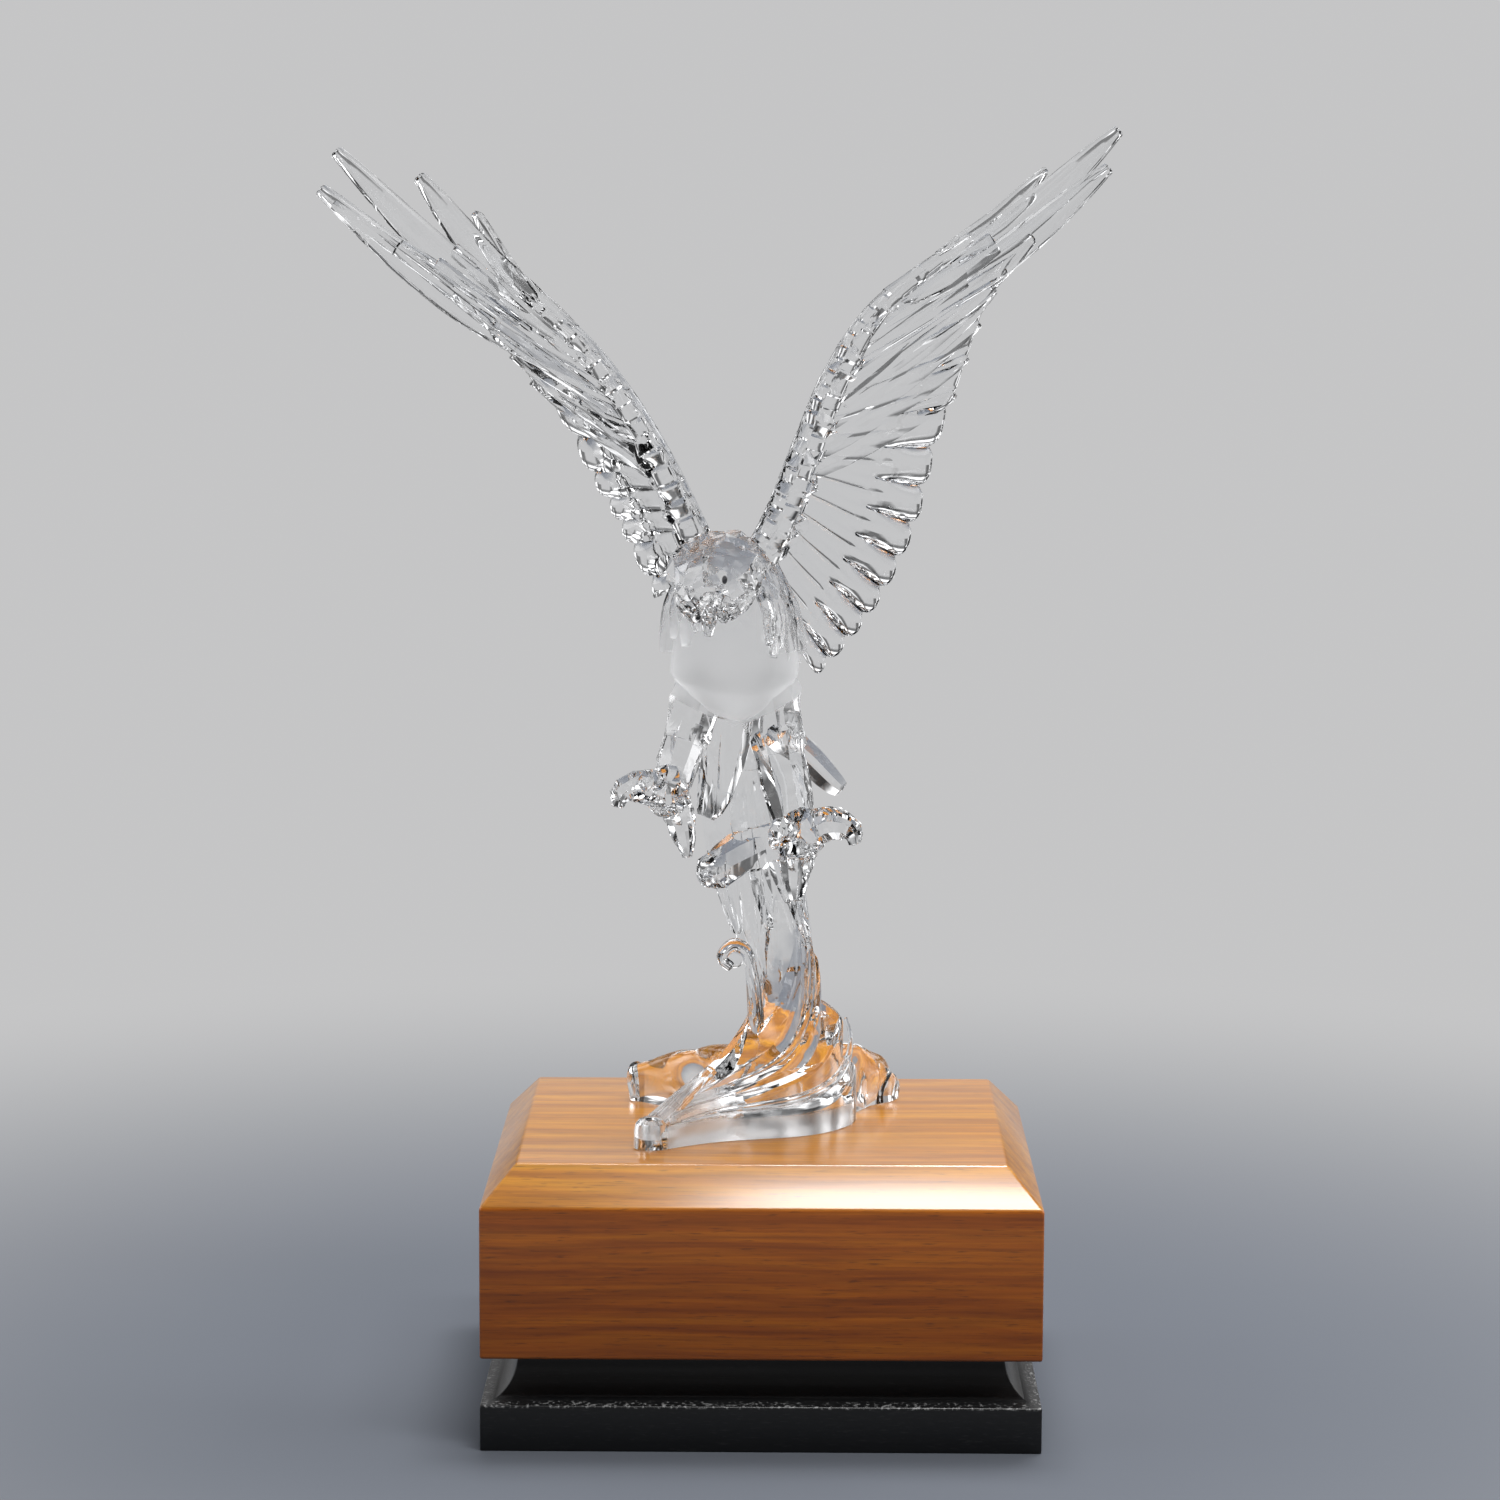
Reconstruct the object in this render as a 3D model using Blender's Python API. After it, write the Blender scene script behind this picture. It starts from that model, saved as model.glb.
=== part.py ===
# A clear acrylic eagle landing on a wave, standing on a chamfered wooden block over a black base.
# Lengths are metres, +X is the viewer's right, +Y is away from the viewer and +Z is up.
# The origin is the middle of the black base's underside.

import math

import bmesh
import bpy
from mathutils import Vector

MM = 0.001

# Plinth
PLINTH_WIDTH = 178.0 * MM
PLINTH_DEPTH = 152.0 * MM
SLAB_HEIGHT = 14.8 * MM
COVE_TOP = 29.6 * MM
COVE_INSET = 11.5 * MM
COVE_STEPS = 8
PART_GAP = 0.3 * MM
BLOCK_TOP = 90.9 * MM
CHAMFER_IN = 11.1 * MM
CHAMFER_DOWN = 12.2 * MM
EDGE_ROUNDING = 0.9 * MM
SLAB_ROUNDING = 0.5 * MM

# Eagle. Its tables count in steps from the block's top. A step is a millimetre at its real height
EAGLE_HEIGHT = 326.7 * MM
STEP = EAGLE_HEIGHT / 326.7
EAGLE_FLOOR = BLOCK_TOP + PART_GAP
FAR_BELOW = -9.0
FLAT_ANGLE = 0.3

# Wings
FEATHER_THICKNESS = 4.2 * STEP
ARM_HALF_WIDTH = 6.6 * STEP
ARM_HALF_DEPTH = 6.0 * STEP
PRIMARIES = 5
PRIMARY_HALF_WIDTH = 5.8 * STEP
HAND_TURN = (0.0, -2.0, 0.0)
FEATHER_START = 0.38
FEATHER_OVERLAP = 0.50
WEB_THICKNESS = 2.6 * STEP
WEB_REACH = 0.84
WEB_STATIONS = 9
COVERT_COUNT = 5
COVERT_REACH = 0.60
COVERT_LIFT = 2.6 * STEP
COVERT_HALF_WIDTH = 5.4 * STEP
COVERT_THICKNESS = 3.4 * STEP

# Torso and head
TORSO_HALF_WIDTH = 21.0 * STEP
TORSO_HALF_DEPTH = 17.0 * STEP
HEAD_HALF_WIDTH = 15.8 * STEP
HEAD_HALF_HEIGHT = 11.0 * STEP

for old in list(bpy.data.objects):
    bpy.data.objects.remove(old, do_unlink=True)

shown = bpy.data.collections.new("acrylic_eagle")
cutters = bpy.data.collections.new("cutters")
bpy.context.scene.collection.children.link(shown)
bpy.context.scene.collection.children.link(cutters)


# Helpers

def plain_material(name, colour, roughness, alpha=1.0):
    material = bpy.data.materials.new(name)
    material.use_nodes = True
    shader = material.node_tree.nodes["Principled BSDF"]
    shader.inputs["Base Color"].default_value = (*colour, 1.0)
    shader.inputs["Roughness"].default_value = roughness
    shader.inputs["Metallic"].default_value = 0.0
    shader.inputs["Alpha"].default_value = alpha
    return material


def blend(values, t):
    """The value at t, from 0 to 1, along an evenly spaced list."""
    place = min(max(t, 0.0), 1.0) * (len(values) - 1)
    low = min(int(place), len(values) - 2)
    part = place - low
    return values[low] * (1.0 - part) + values[low + 1] * part


def curve_point(points, t):
    """A point at t, from 0 to 1, on a smooth curve through the points."""
    count = len(points)
    place = min(max(t, 0.0), 1.0) * (count - 1)
    low = min(int(place), count - 2)
    part = place - low
    before = points[max(low - 1, 0)]
    start = points[low]
    end = points[low + 1]
    after = points[min(low + 2, count - 1)]
    return 0.5 * (
        2.0 * start
        + (end - before) * part
        + (2.0 * before - 5.0 * start + 4.0 * end - after) * part ** 2
        + (3.0 * start - before - 3.0 * end + after) * part ** 3
    )


def vectors(rows):
    return [Vector(row) for row in rows]


def steps(length):
    """A real length in the steps that the eagle's tables count in."""
    return length / STEP


def loft(name, rings):
    """A closed solid through rings of equal count, in steps above the block's top."""
    mesh = bmesh.new()
    lift = Vector((0.0, 0.0, EAGLE_FLOOR))
    rows = []
    for ring in rings:
        rows.append([mesh.verts.new(point * STEP + lift) for point in ring])
    count = len(rings[0])
    for row, following in zip(rows, rows[1:]):
        for i in range(count):
            j = (i + 1) % count
            mesh.faces.new((row[i], row[j], following[j], following[i]))
    for row, ring in ((rows[0], rings[0]), (rows[-1], rings[-1])):
        middle = sum(ring, Vector()) / count
        centre = mesh.verts.new(middle * STEP + lift)
        for i in range(count):
            mesh.faces.new((row[i], row[(i + 1) % count], centre))
    bmesh.ops.triangulate(mesh, faces=mesh.faces[:])
    bmesh.ops.recalc_face_normals(mesh, faces=mesh.faces[:])
    data = bpy.data.meshes.new(name)
    mesh.to_mesh(data)
    mesh.free()
    made = bpy.data.objects.new(name, data)
    shown.objects.link(made)
    return made


def frame_at(points, t, facing):
    """The place, the direction across and the direction out at t along a curve."""
    place = curve_point(points, t)
    ahead = curve_point(points, min(t + 0.01, 1.0))
    behind = curve_point(points, max(t - 0.01, 0.0))
    along = (ahead - behind).normalized()
    across = along.cross(facing).normalized()
    out = across.cross(along).normalized()
    return place, across, out


def tube(name, points, widths, depths, facing, corners, stations, squareness=1.0):
    """A rounded bar along a curve. Widths lie across it and depths along the facing direction."""
    path = vectors(points)
    rings = []
    for step in range(stations):
        t = step / (stations - 1)
        place, across, out = frame_at(path, t, Vector(facing))
        half_width = blend(widths, t)
        half_depth = blend(depths, t)
        ring = []
        for corner in range(corners):
            angle = 2.0 * math.pi * (corner + 0.5) / corners
            x = math.copysign(abs(math.cos(angle)) ** squareness, math.cos(angle))
            y = math.copysign(abs(math.sin(angle)) ** squareness, math.sin(angle))
            ring.append(place + across * half_width * x + out * half_depth * y)
        rings.append(ring)
    return loft(name, rings)


BLUNT = ((0.0, 0.70), (0.55, 1.0), (0.90, 0.86), (1.0, 0.44))
POINTED = ((0.0, 0.70), (0.30, 1.0), (0.62, 0.92), (0.87, 0.55), (1.0, 0.14))


def feather(name, root, tip, half_width, thickness, facing, bow, outline):
    """A flat blade with a ridge down each face, bowed sideways and narrowing to its tip."""
    middle = (root + tip) * 0.5 + bow
    path = [root, middle, tip]
    rings = []
    for t, share in outline:
        place, across, out = frame_at(path, t, facing)
        side = across * half_width * share
        ridge = out * thickness * (0.5 if t < 0.9 else 0.38)
        edge = out * thickness * 0.17
        lean = across * half_width * 0.18
        rings.append([
            place - side + edge,
            place + ridge + lean,
            place + side + edge,
            place + side - edge,
            place - ridge + lean,
            place - side - edge,
        ])
    return loft(name, rings)


def combine(solids, operation="UNION"):
    """All the solids as one, in the first."""
    base = solids[0]
    for other in solids[1:]:
        step = base.modifiers.new("combine", "BOOLEAN")
        step.operation = operation
        step.solver = "EXACT"
        step.object = other
        shape = bpy.data.meshes.new_from_object(
            base.evaluated_get(bpy.context.evaluated_depsgraph_get()))
        base.modifiers.clear()
        spent = base.data
        base.data = shape
        bpy.data.meshes.remove(spent)
        bpy.data.objects.remove(other, do_unlink=True)
    return base


def linked_groups(mesh):
    """The mesh's vertices, one list for each piece that stands on its own."""
    left = set(mesh.verts)
    groups = []
    while left:
        group = []
        waiting = [left.pop()]
        while waiting:
            vertex = waiting.pop()
            group.append(vertex)
            for edge in vertex.link_edges:
                other = edge.other_vert(vertex)
                if other in left:
                    left.remove(other)
                    waiting.append(other)
        groups.append(group)
    return groups


def tidy(solid):
    """Drops crumbs, merges the flat neighbours that a union leaves and turns faces outwards."""
    mesh = bmesh.new()
    mesh.from_mesh(solid.data)
    for group in sorted(linked_groups(mesh), key=len)[:-1]:
        bmesh.ops.delete(mesh, geom=group, context="VERTS")
    bmesh.ops.remove_doubles(mesh, verts=mesh.verts[:], dist=0.000001)
    bmesh.ops.dissolve_limit(
        mesh, angle_limit=math.radians(FLAT_ANGLE), verts=mesh.verts[:], edges=mesh.edges[:])
    bmesh.ops.triangulate(mesh, faces=mesh.faces[:])
    bmesh.ops.recalc_face_normals(mesh, faces=mesh.faces[:])
    mesh.to_mesh(solid.data)
    mesh.free()


def feather_root(arm, place):
    """Where on the arm the feather at this place in the fan starts."""
    return curve_point(arm, 1.0 - 0.96 * place ** 0.9)


def wing_front(arm, fan):
    """The direction square to a wing's face, on its viewer's side."""
    span = arm[-1] - arm[0]
    chord = curve_point(fan, 0.7) - feather_root(arm, 0.7)
    square = span.cross(chord).normalized()
    return -square if square.y > 0.0 else square


def wing(name, arm_points, tips, bow_out):
    """An arm along the leading edge, a thin web behind it and a fan of feathers to the tips."""
    arm = vectors(arm_points)
    fan = vectors(tips)
    front = wing_front(arm, fan)
    thickness = steps(FEATHER_THICKNESS)
    widths = [steps(ARM_HALF_WIDTH) * share for share in (1.1, 1.0, 0.95, 0.9, 0.65, 0.25)]
    depths = [steps(ARM_HALF_DEPTH) * share for share in (1.2, 1.0, 0.9, 0.8, 0.65, 0.3)]
    solids = [tube(name + "_arm", arm_points, widths, depths, front, 8, 9, 0.8)]

    last = len(tips) - 1
    first_secondary = (PRIMARIES - 0.4) / last
    rings = []
    for step in range(WEB_STATIONS):
        place = 0.985 + (first_secondary - 0.985) * step / (WEB_STATIONS - 1)
        near = feather_root(arm, place)
        far = near.lerp(curve_point(fan, place), WEB_REACH)
        half = front * steps(WEB_THICKNESS) * 0.5
        rings.append([near + half, far + half * 0.9, far - half * 0.9, near - half])
    solids.append(loft(name + "_web", rings))

    hand_front = (front + Vector(HAND_TURN)).normalized()
    for number in range(PRIMARIES):
        place = number / last
        tip = curve_point(fan, place)
        root = feather_root(arm, place)
        shingle = hand_front * (0.6 if number % 2 else -0.6)
        sideways = (tip - root).cross(hand_front) * bow_out
        solids.append(feather(
            name + "_primary", root + shingle, tip, steps(PRIMARY_HALF_WIDTH), thickness,
            hand_front, sideways, POINTED))

    secondaries = (last - PRIMARIES) * 2 + 1
    for number in range(secondaries):
        place = (PRIMARIES + 0.5 * number) / last
        tip = curve_point(fan, place)
        root = feather_root(arm, place).lerp(tip, FEATHER_START)
        shingle = front * (0.5 if number % 2 else -0.5)
        ahead = curve_point(fan, place + 0.25 / last)
        behind = curve_point(fan, place - 0.25 / last)
        spacing = (ahead - behind).length
        solids.append(feather(
            name + "_secondary", root + shingle, tip, spacing * FEATHER_OVERLAP,
            thickness, front, Vector(), BLUNT))

    for number in range(COVERT_COUNT):
        place = 0.44 + 0.50 * number / (COVERT_COUNT - 1)
        root = feather_root(arm, place)
        end = root.lerp(curve_point(fan, place), COVERT_REACH - 0.05 * number)
        lift = front * steps(COVERT_LIFT)
        solids.append(feather(
            name + "_covert", root + lift, end + lift * 0.7, steps(COVERT_HALF_WIDTH),
            steps(COVERT_THICKNESS), front, front * 0.6, BLUNT))
    return solids


def plain_box(name, width, depth, bottom, top):
    bpy.ops.mesh.primitive_cube_add(size=1.0, location=(0.0, 0.0, (bottom + top) / 2.0))
    made = bpy.context.object
    made.name = name
    made.scale = (width, depth, top - bottom)
    bpy.ops.object.transform_apply(location=True, rotation=False, scale=True)
    for holder in list(made.users_collection):
        holder.objects.unlink(made)
    shown.objects.link(made)
    return made


def square_loft(name, levels):
    """A solid through rectangles, each a half width, a half depth and a height."""
    mesh = bmesh.new()
    rows = []
    for half_width, half_depth, height in levels:
        rows.append([
            mesh.verts.new((half_width * x, half_depth * y, height))
            for x, y in ((-1, -1), (1, -1), (1, 1), (-1, 1))
        ])
    for row, following in zip(rows, rows[1:]):
        for i in range(4):
            j = (i + 1) % 4
            mesh.faces.new((row[i], row[j], following[j], following[i]))
    mesh.faces.new(rows[0])
    mesh.faces.new(rows[-1])
    bmesh.ops.recalc_face_normals(mesh, faces=mesh.faces[:])
    data = bpy.data.meshes.new(name)
    mesh.to_mesh(data)
    mesh.free()
    made = bpy.data.objects.new(name, data)
    shown.objects.link(made)
    return made


# Black base: a slab with a cove that narrows up to the block
half_width = PLINTH_WIDTH / 2.0
half_depth = PLINTH_DEPTH / 2.0
base_levels = [
    (half_width - SLAB_ROUNDING, half_depth - SLAB_ROUNDING, 0.0),
    (half_width, half_depth, SLAB_ROUNDING),
    (half_width, half_depth, SLAB_HEIGHT - SLAB_ROUNDING),
    (half_width - SLAB_ROUNDING, half_depth - SLAB_ROUNDING, SLAB_HEIGHT),
]
cove_bottom = SLAB_HEIGHT + 0.2 * MM
for step in range(COVE_STEPS + 1):
    turn = math.radians(90.0 * step / COVE_STEPS)
    inset = SLAB_ROUNDING * 2.0 + (COVE_INSET - SLAB_ROUNDING * 2.0) * math.sin(turn)
    height = cove_bottom + (COVE_TOP - cove_bottom) * (1.0 - math.cos(turn))
    base_levels.append((half_width - inset, half_depth - inset, height))
black_base = square_loft("black_base", base_levels)

# Wooden block: straight sides, a wide chamfer round the top and slightly rounded edges
block_bottom = COVE_TOP + PART_GAP
chamfer_foot = BLOCK_TOP - CHAMFER_DOWN
top_half_width = half_width - CHAMFER_IN
top_half_depth = half_depth - CHAMFER_IN
wood_block = square_loft("wood_block", [
    (half_width - EDGE_ROUNDING * 0.5, half_depth - EDGE_ROUNDING * 0.5, block_bottom),
    (half_width, half_depth, block_bottom + EDGE_ROUNDING * 0.5),
    (half_width, half_depth, chamfer_foot - EDGE_ROUNDING * 0.6),
    (half_width - EDGE_ROUNDING * 0.45, half_depth - EDGE_ROUNDING * 0.45,
     chamfer_foot + EDGE_ROUNDING * 0.45),
    (top_half_width + EDGE_ROUNDING * 0.45, top_half_depth + EDGE_ROUNDING * 0.45,
     BLOCK_TOP - EDGE_ROUNDING * 0.45),
    (top_half_width - EDGE_ROUNDING * 0.5, top_half_depth - EDGE_ROUNDING * 0.5, BLOCK_TOP),
])

# Wave: terraces that sweep from a rounded toe in front up into a twisted column
eagle_solids = []
ridge_line = vectors((
    (-40.0, -41.0, 7.2), (-29.0, -24.0, 13.5), (-13.0, -6.0, 24.0),
    (-3.0, 4.0, 40.0), (0.0, 11.0, 62.0), (3.0, 15.0, 88.0)))
terraces = {
    "outer": ((-33.0, -48.5, 7.0), (-14.0, -35.5, 8.6), (14.0, -26.0, 9.8),
              (27.0, -13.0, 12.5), (31.0, 0.0, 19.0), (29.5, 10.0, 26.0)),
    "second": ((-34.0, -44.0, 8.0), (-19.0, -33.0, 12.0), (3.0, -27.0, 15.5),
               (20.0, -14.0, 22.0), (26.5, 1.0, 35.0), (22.0, 9.0, 49.0)),
    "third": ((-31.0, -37.0, 9.5), (-4.0, -24.0, 15.8), (12.0, -16.0, 24.0),
              (18.5, -5.0, 38.0), (18.0, 5.0, 55.0), (11.0, 11.0, 72.0)),
    "inner": ((-22.0, -24.0, 14.5), (0.0, -14.0, 24.0), (8.5, -10.0, 33.0),
              (12.5, -3.0, 48.0), (12.0, 5.0, 64.0), (7.0, 12.0, 84.0)),
}
ridge_reach = {"outer": 0.60, "second": 0.72, "third": 0.86, "inner": 0.97}
for order, (name, rim) in enumerate(terraces.items()):
    rim_points = vectors(rim)
    floor = FAR_BELOW + order
    rings = []
    for step in range(10):
        t = step / 9.0
        edge = curve_point(rim_points, t)
        back = curve_point(ridge_line, t * ridge_reach[name])
        back.z -= 0.5 * order
        rings.append([
            Vector((edge.x, edge.y, floor)), edge, back, Vector((back.x, back.y, floor))])
    eagle_solids.append(loft("wave_" + name, rings))

# Toe and the two short arms that steady the wave
eagle_solids.append(tube(
    "toe", ((-36.0, -43.6, FAR_BELOW), (-36.0, -43.6, 3.4), (-35.8, -43.0, 8.0)),
    (5.0, 5.0, 3.8), (5.6, 5.6, 4.4), (0.0, -1.0, 0.0), 10, 4))
eagle_solids.append(tube(
    "right_arm", ((12.0, 5.0, 8.0), (26.0, 14.0, 8.0), (35.5, 26.0, 4.0), (42.0, 37.0, -0.5)),
    (8.0, 6.0, 5.4, 4.6), (17.0, 14.5, 12.0, 8.4), (0.0, 0.0, 1.0), 8, 6, 0.6))
eagle_solids.append(tube(
    "left_arm", ((2.0, 8.0, 8.0), (-12.0, 15.0, 7.0), (-28.0, 23.0, 5.0), (-43.0, 33.0, 1.5)),
    (9.0, 7.0, 6.4, 6.0), (18.0, 14.5, 12.5, 11.0), (0.0, 0.0, 1.0), 8, 6, 0.6))
eagle_solids.append(tube(
    "column_core", ((6.0, 4.0, FAR_BELOW), (8.0, 6.0, 20.0), (8.0, 8.0, 45.0), (4.0, 13.0, 80.0)),
    (20.0, 14.0, 8.5, 5.5), (16.0, 11.0, 7.0, 5.0), (0.0, -1.0, 0.0), 8, 7))

# Curling crest on the wave's left
eagle_solids.append(tube(
    "crest", ((2.0, 3.0, 18.0), (-2.2, 3.0, 34.0), (-3.6, 3.5, 46.0), (-5.5, 4.0, 55.0),
              (-10.0, 4.0, 57.6), (-13.6, 4.0, 53.6), (-10.6, 4.0, 50.2)),
    (5.5, 2.6, 1.9, 1.6, 1.6, 1.6, 1.7), (9.0, 7.5, 6.0, 5.2, 5.0, 4.8, 4.6),
    (0.0, -1.0, 0.0), 8, 13, 0.8))
eagle_solids.append(tube(
    "curl_eye", ((-9.6, -0.6, 53.8), (-9.6, 8.6, 53.8)),
    (4.4, 4.4), (4.4, 4.4), (0.0, 0.0, 1.0), 12, 2))

# Tail: long feathers that run down into the wave
tail_root = Vector((-9.0, 9.0, 128.0))
TAIL_FEATHERS = 5
for number in range(TAIL_FEATHERS):
    share = number / (TAIL_FEATHERS - 1)
    root = tail_root + Vector((-6.5 + 13.0 * share, 1.5 * (number % 2), 0.0))
    end = Vector((-5.0 + 21.0 * share, 7.0 + 1.5 * (number % 2), 36.0 + 10.0 * share))
    eagle_solids.append(feather(
        "tail_feather", root, end, 5.4, 5.0, Vector((0.0, -1.0, 0.0)),
        Vector((-4.0 + 3.0 * share, 3.0, 0.0)), POINTED))
eagle_solids.append(tube(
    "tail_core", ((-9.0, 8.0, 134.0), (-8.0, 9.0, 105.0), (-1.0, 9.0, 75.0), (6.0, 9.0, 48.0)),
    (11.0, 10.0, 9.5, 9.0), (6.0, 3.6, 3.2, 3.2), (0.0, -1.0, 0.0), 8, 6))
eagle_solids.append(tube(
    "tail_stub", ((6.0, 8.0, 93.0), (-6.0, 4.0, 89.0), (-16.0, 0.0, 83.5), (-21.5, -2.0, 80.5)),
    (6.0, 7.4, 7.0, 3.2), (6.0, 7.0, 6.4, 3.0), (0.0, -1.0, 0.0), 10, 6))

# Torso: a smooth barrel with a pointed lower edge
torso_widths = [steps(TORSO_HALF_WIDTH) * share for share in (0.34, 0.92, 1.0, 0.99, 0.90, 0.55, 0.25)]
torso_depths = [steps(TORSO_HALF_DEPTH) * share for share in (0.30, 0.80, 1.0, 1.02, 0.92, 0.60, 0.30)]
eagle_solids.append(tube(
    "torso", ((-10.0, -6.0, 128.5), (-10.0, -3.5, 138.0), (-9.8, -2.0, 150.0),
              (-9.5, -1.0, 162.0), (-9.5, 0.0, 174.0), (-11.5, 1.0, 186.0), (-13.0, 0.0, 194.0)),
    torso_widths, torso_depths, (0.0, -1.0, 0.0), 16, 10, 0.9))

# Head: a flat dome that leans forward, with brows and a hooked beak
head_widths = [steps(HEAD_HALF_WIDTH) * share for share in (1.0, 1.0, 0.98, 0.74, 0.40)]
head_heights = [steps(HEAD_HALF_HEIGHT) * share for share in (1.0, 1.04, 1.0, 0.82, 0.45)]
eagle_solids.append(tube(
    "head", ((-11.5, 8.0, 177.0), (-14.5, -6.0, 183.0), (-16.0, -19.0, 183.0),
             (-17.0, -30.0, 178.5), (-17.4, -36.0, 174.0)),
    head_widths, head_heights, (0.0, 0.0, 1.0), 12, 8))
eagle_solids.append(tube(
    "beak", ((-16.2, -29.0, 178.5), (-16.9, -37.0, 176.5), (-17.4, -41.5, 171.5),
             (-17.6, -41.0, 165.0)),
    (6.0, 4.9, 3.2, 0.8), (6.2, 4.8, 3.2, 0.8), (1.0, 0.0, 0.0), 8, 6))
for side in (-1.0, 1.0):
    eagle_solids.append(tube(
        "brow", ((-14.5 + side * 9.0, -16.0, 189.0), (-15.6 + side * 10.0, -24.0, 187.0),
                 (-16.6 + side * 5.0, -34.0, 181.0)),
        (2.6, 3.2, 1.6), (2.2, 2.6, 1.4), (0.0, 0.0, 1.0), 6, 5))

# Neck feathers that hang over both shoulders
NECK_FEATHERS = 4
for side in (-1.0, 1.0):
    for number in range(NECK_FEATHERS):
        share = number / (NECK_FEATHERS - 1)
        root = Vector((-11.5 + side * (9.0 + 3.0 * share), -14.0 + 14.0 * share, 182.0))
        end = Vector((-10.0 + side * (14.5 + 6.5 * share), -17.0 + 16.0 * share,
                      160.0 - 7.0 * share))
        eagle_solids.append(feather(
            "neck_feather", root, end, 3.6, 5.0,
            Vector((side * (0.35 + 0.6 * share), -1.0 + 0.6 * share, 0.25)),
            Vector((side * 3.0, -2.0, 0.0)), POINTED))

# Legs, feet and claws
legs = {
    "left": {
        "thigh": ((-20.0, -2.0, 147.0), (-23.5, -7.0, 136.0), (-27.0, -13.0, 124.0),
                  (-30.5, -22.0, 113.0)),
        "thigh_width": 9.2, "palm": (-31.5, -25.0, 112.5), "palm_size": 7.4,
        "toes": (((-33.0, -27.0, 113.0), (-40.0, -34.0, 116.0), (-45.5, -37.0, 114.0),
                  (-46.5, -38.0, 109.5)),
                 ((-30.0, -27.0, 111.0), (-26.5, -30.0, 103.0), (-24.4, -32.0, 92.5)),
                 ((-33.0, -28.0, 115.0), (-37.0, -36.0, 118.5), (-38.0, -42.0, 116.0)),
                 ((-30.0, -24.0, 112.0), (-27.0, -12.0, 110.0), (-26.0, -5.0, 103.0))),
    },
    "right": {
        "thigh": ((0.0, -2.0, 146.0), (2.5, -6.0, 134.0), (6.0, -12.0, 118.0),
                  (9.5, -20.0, 103.0)),
        "thigh_width": 11.0, "palm": (11.5, -24.0, 98.5), "palm_size": 8.2,
        "toes": (((13.0, -26.0, 99.0), (20.5, -31.0, 103.5), (27.5, -34.0, 102.5),
                  (29.6, -34.5, 97.5)),
                 ((10.5, -27.0, 97.0), (10.4, -32.0, 89.0), (10.5, -34.0, 78.8)),
                 ((9.0, -27.0, 100.0), (5.0, -35.0, 102.0), (3.0, -40.0, 97.0)),
                 ((11.0, -20.0, 98.0), (12.0, -8.0, 96.0), (13.0, -1.0, 89.0))),
    },
}
for side, leg in legs.items():
    width = leg["thigh_width"]
    eagle_solids.append(tube(
        side + "_thigh", leg["thigh"], (width, width, width * 0.82, width * 0.56),
        (width * 0.95, width * 0.9, width * 0.75, width * 0.52), (0.0, -1.0, 0.0), 8, 6))
    palm = Vector(leg["palm"])
    size = leg["palm_size"]
    eagle_solids.append(tube(
        side + "_palm",
        (palm + Vector((0.0, 5.0, 5.5)), palm, palm + Vector((0.0, -4.0, -5.5))),
        (size * 0.6, size, size * 0.55), (size * 0.6, size, size * 0.55),
        (0.0, -1.0, 0.3), 8, 5))
    for number, toe in enumerate(leg["toes"]):
        thick = size * (0.72 if number < 2 else 0.52)
        facing = (0.0, -1.0, 0.1) if number < 2 else (1.0, 0.0, 0.1)
        eagle_solids.append(tube(
            side + "_toe", toe, (thick, thick * 0.95, thick * 0.66, thick * 0.24),
            (thick * 0.9, thick * 0.85, thick * 0.6, thick * 0.24), facing, 7, 5))
eagle_solids.append(tube(
    "thigh_plume", ((5.0, 4.0, 128.0), (14.0, 9.0, 120.0), (22.0, 13.0, 111.5),
                    (25.5, 14.0, 108.5)),
    (6.0, 5.6, 4.0, 1.8), (5.0, 4.4, 3.2, 1.6), (0.0, -1.0, 0.0), 6, 5))
eagle_solids.append(tube(
    "hind_plume", ((-12.0, 2.0, 134.0), (-14.0, 2.0, 120.0), (-17.0, 1.0, 107.0),
                   (-19.5, 0.0, 101.0)),
    (9.0, 8.0, 6.0, 3.2), (8.0, 6.5, 4.5, 2.0), (0.0, -1.0, 0.0), 6, 5))

# Wings: each from its arm's points and its feather tips, the leading ones first
eagle_solids += wing(
    "right_wing",
    ((-6.0, 4.0, 176.0), (5.5, 2.0, 200.0), (14.5, -2.0, 224.0), (24.0, -3.0, 247.0),
     (38.0, -1.0, 268.5), (66.0, 10.0, 290.5)),
    ((91.5, 30.0, 312.3), (115.5, 26.0, 326.0), (111.2, 12.0, 313.0), (86.5, 10.0, 290.5),
     (74.2, 12.0, 274.0), (65.8, 16.0, 249.5), (56.8, 20.0, 222.0), (50.2, 23.0, 195.5),
     (40.2, 25.0, 173.3), (28.3, 25.0, 156.4), (17.0, 23.0, 144.6)),
    0.05)
eagle_solids += wing(
    "left_wing",
    ((-17.0, 5.0, 176.0), (-26.5, 2.0, 200.0), (-37.0, -2.0, 222.0), (-48.5, -4.0, 241.0),
     (-61.5, -3.0, 257.5), (-80.0, 4.0, 271.5)),
    ((-96.0, 32.0, 297.5), (-114.4, 28.0, 309.5), (-140.8, 18.0, 317.8), (-145.0, 4.0, 305.3),
     (-99.8, 8.0, 274.0), (-82.0, 18.0, 251.0), (-67.8, 29.0, 232.4), (-58.2, 37.0, 212.0),
     (-50.5, 40.0, 199.0), (-44.6, 41.0, 187.0), (-36.0, 40.0, 170.0)),
    -0.05)

eagle = combine(eagle_solids)
eagle.name = "eagle"
eagle.data.name = "eagle"

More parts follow.
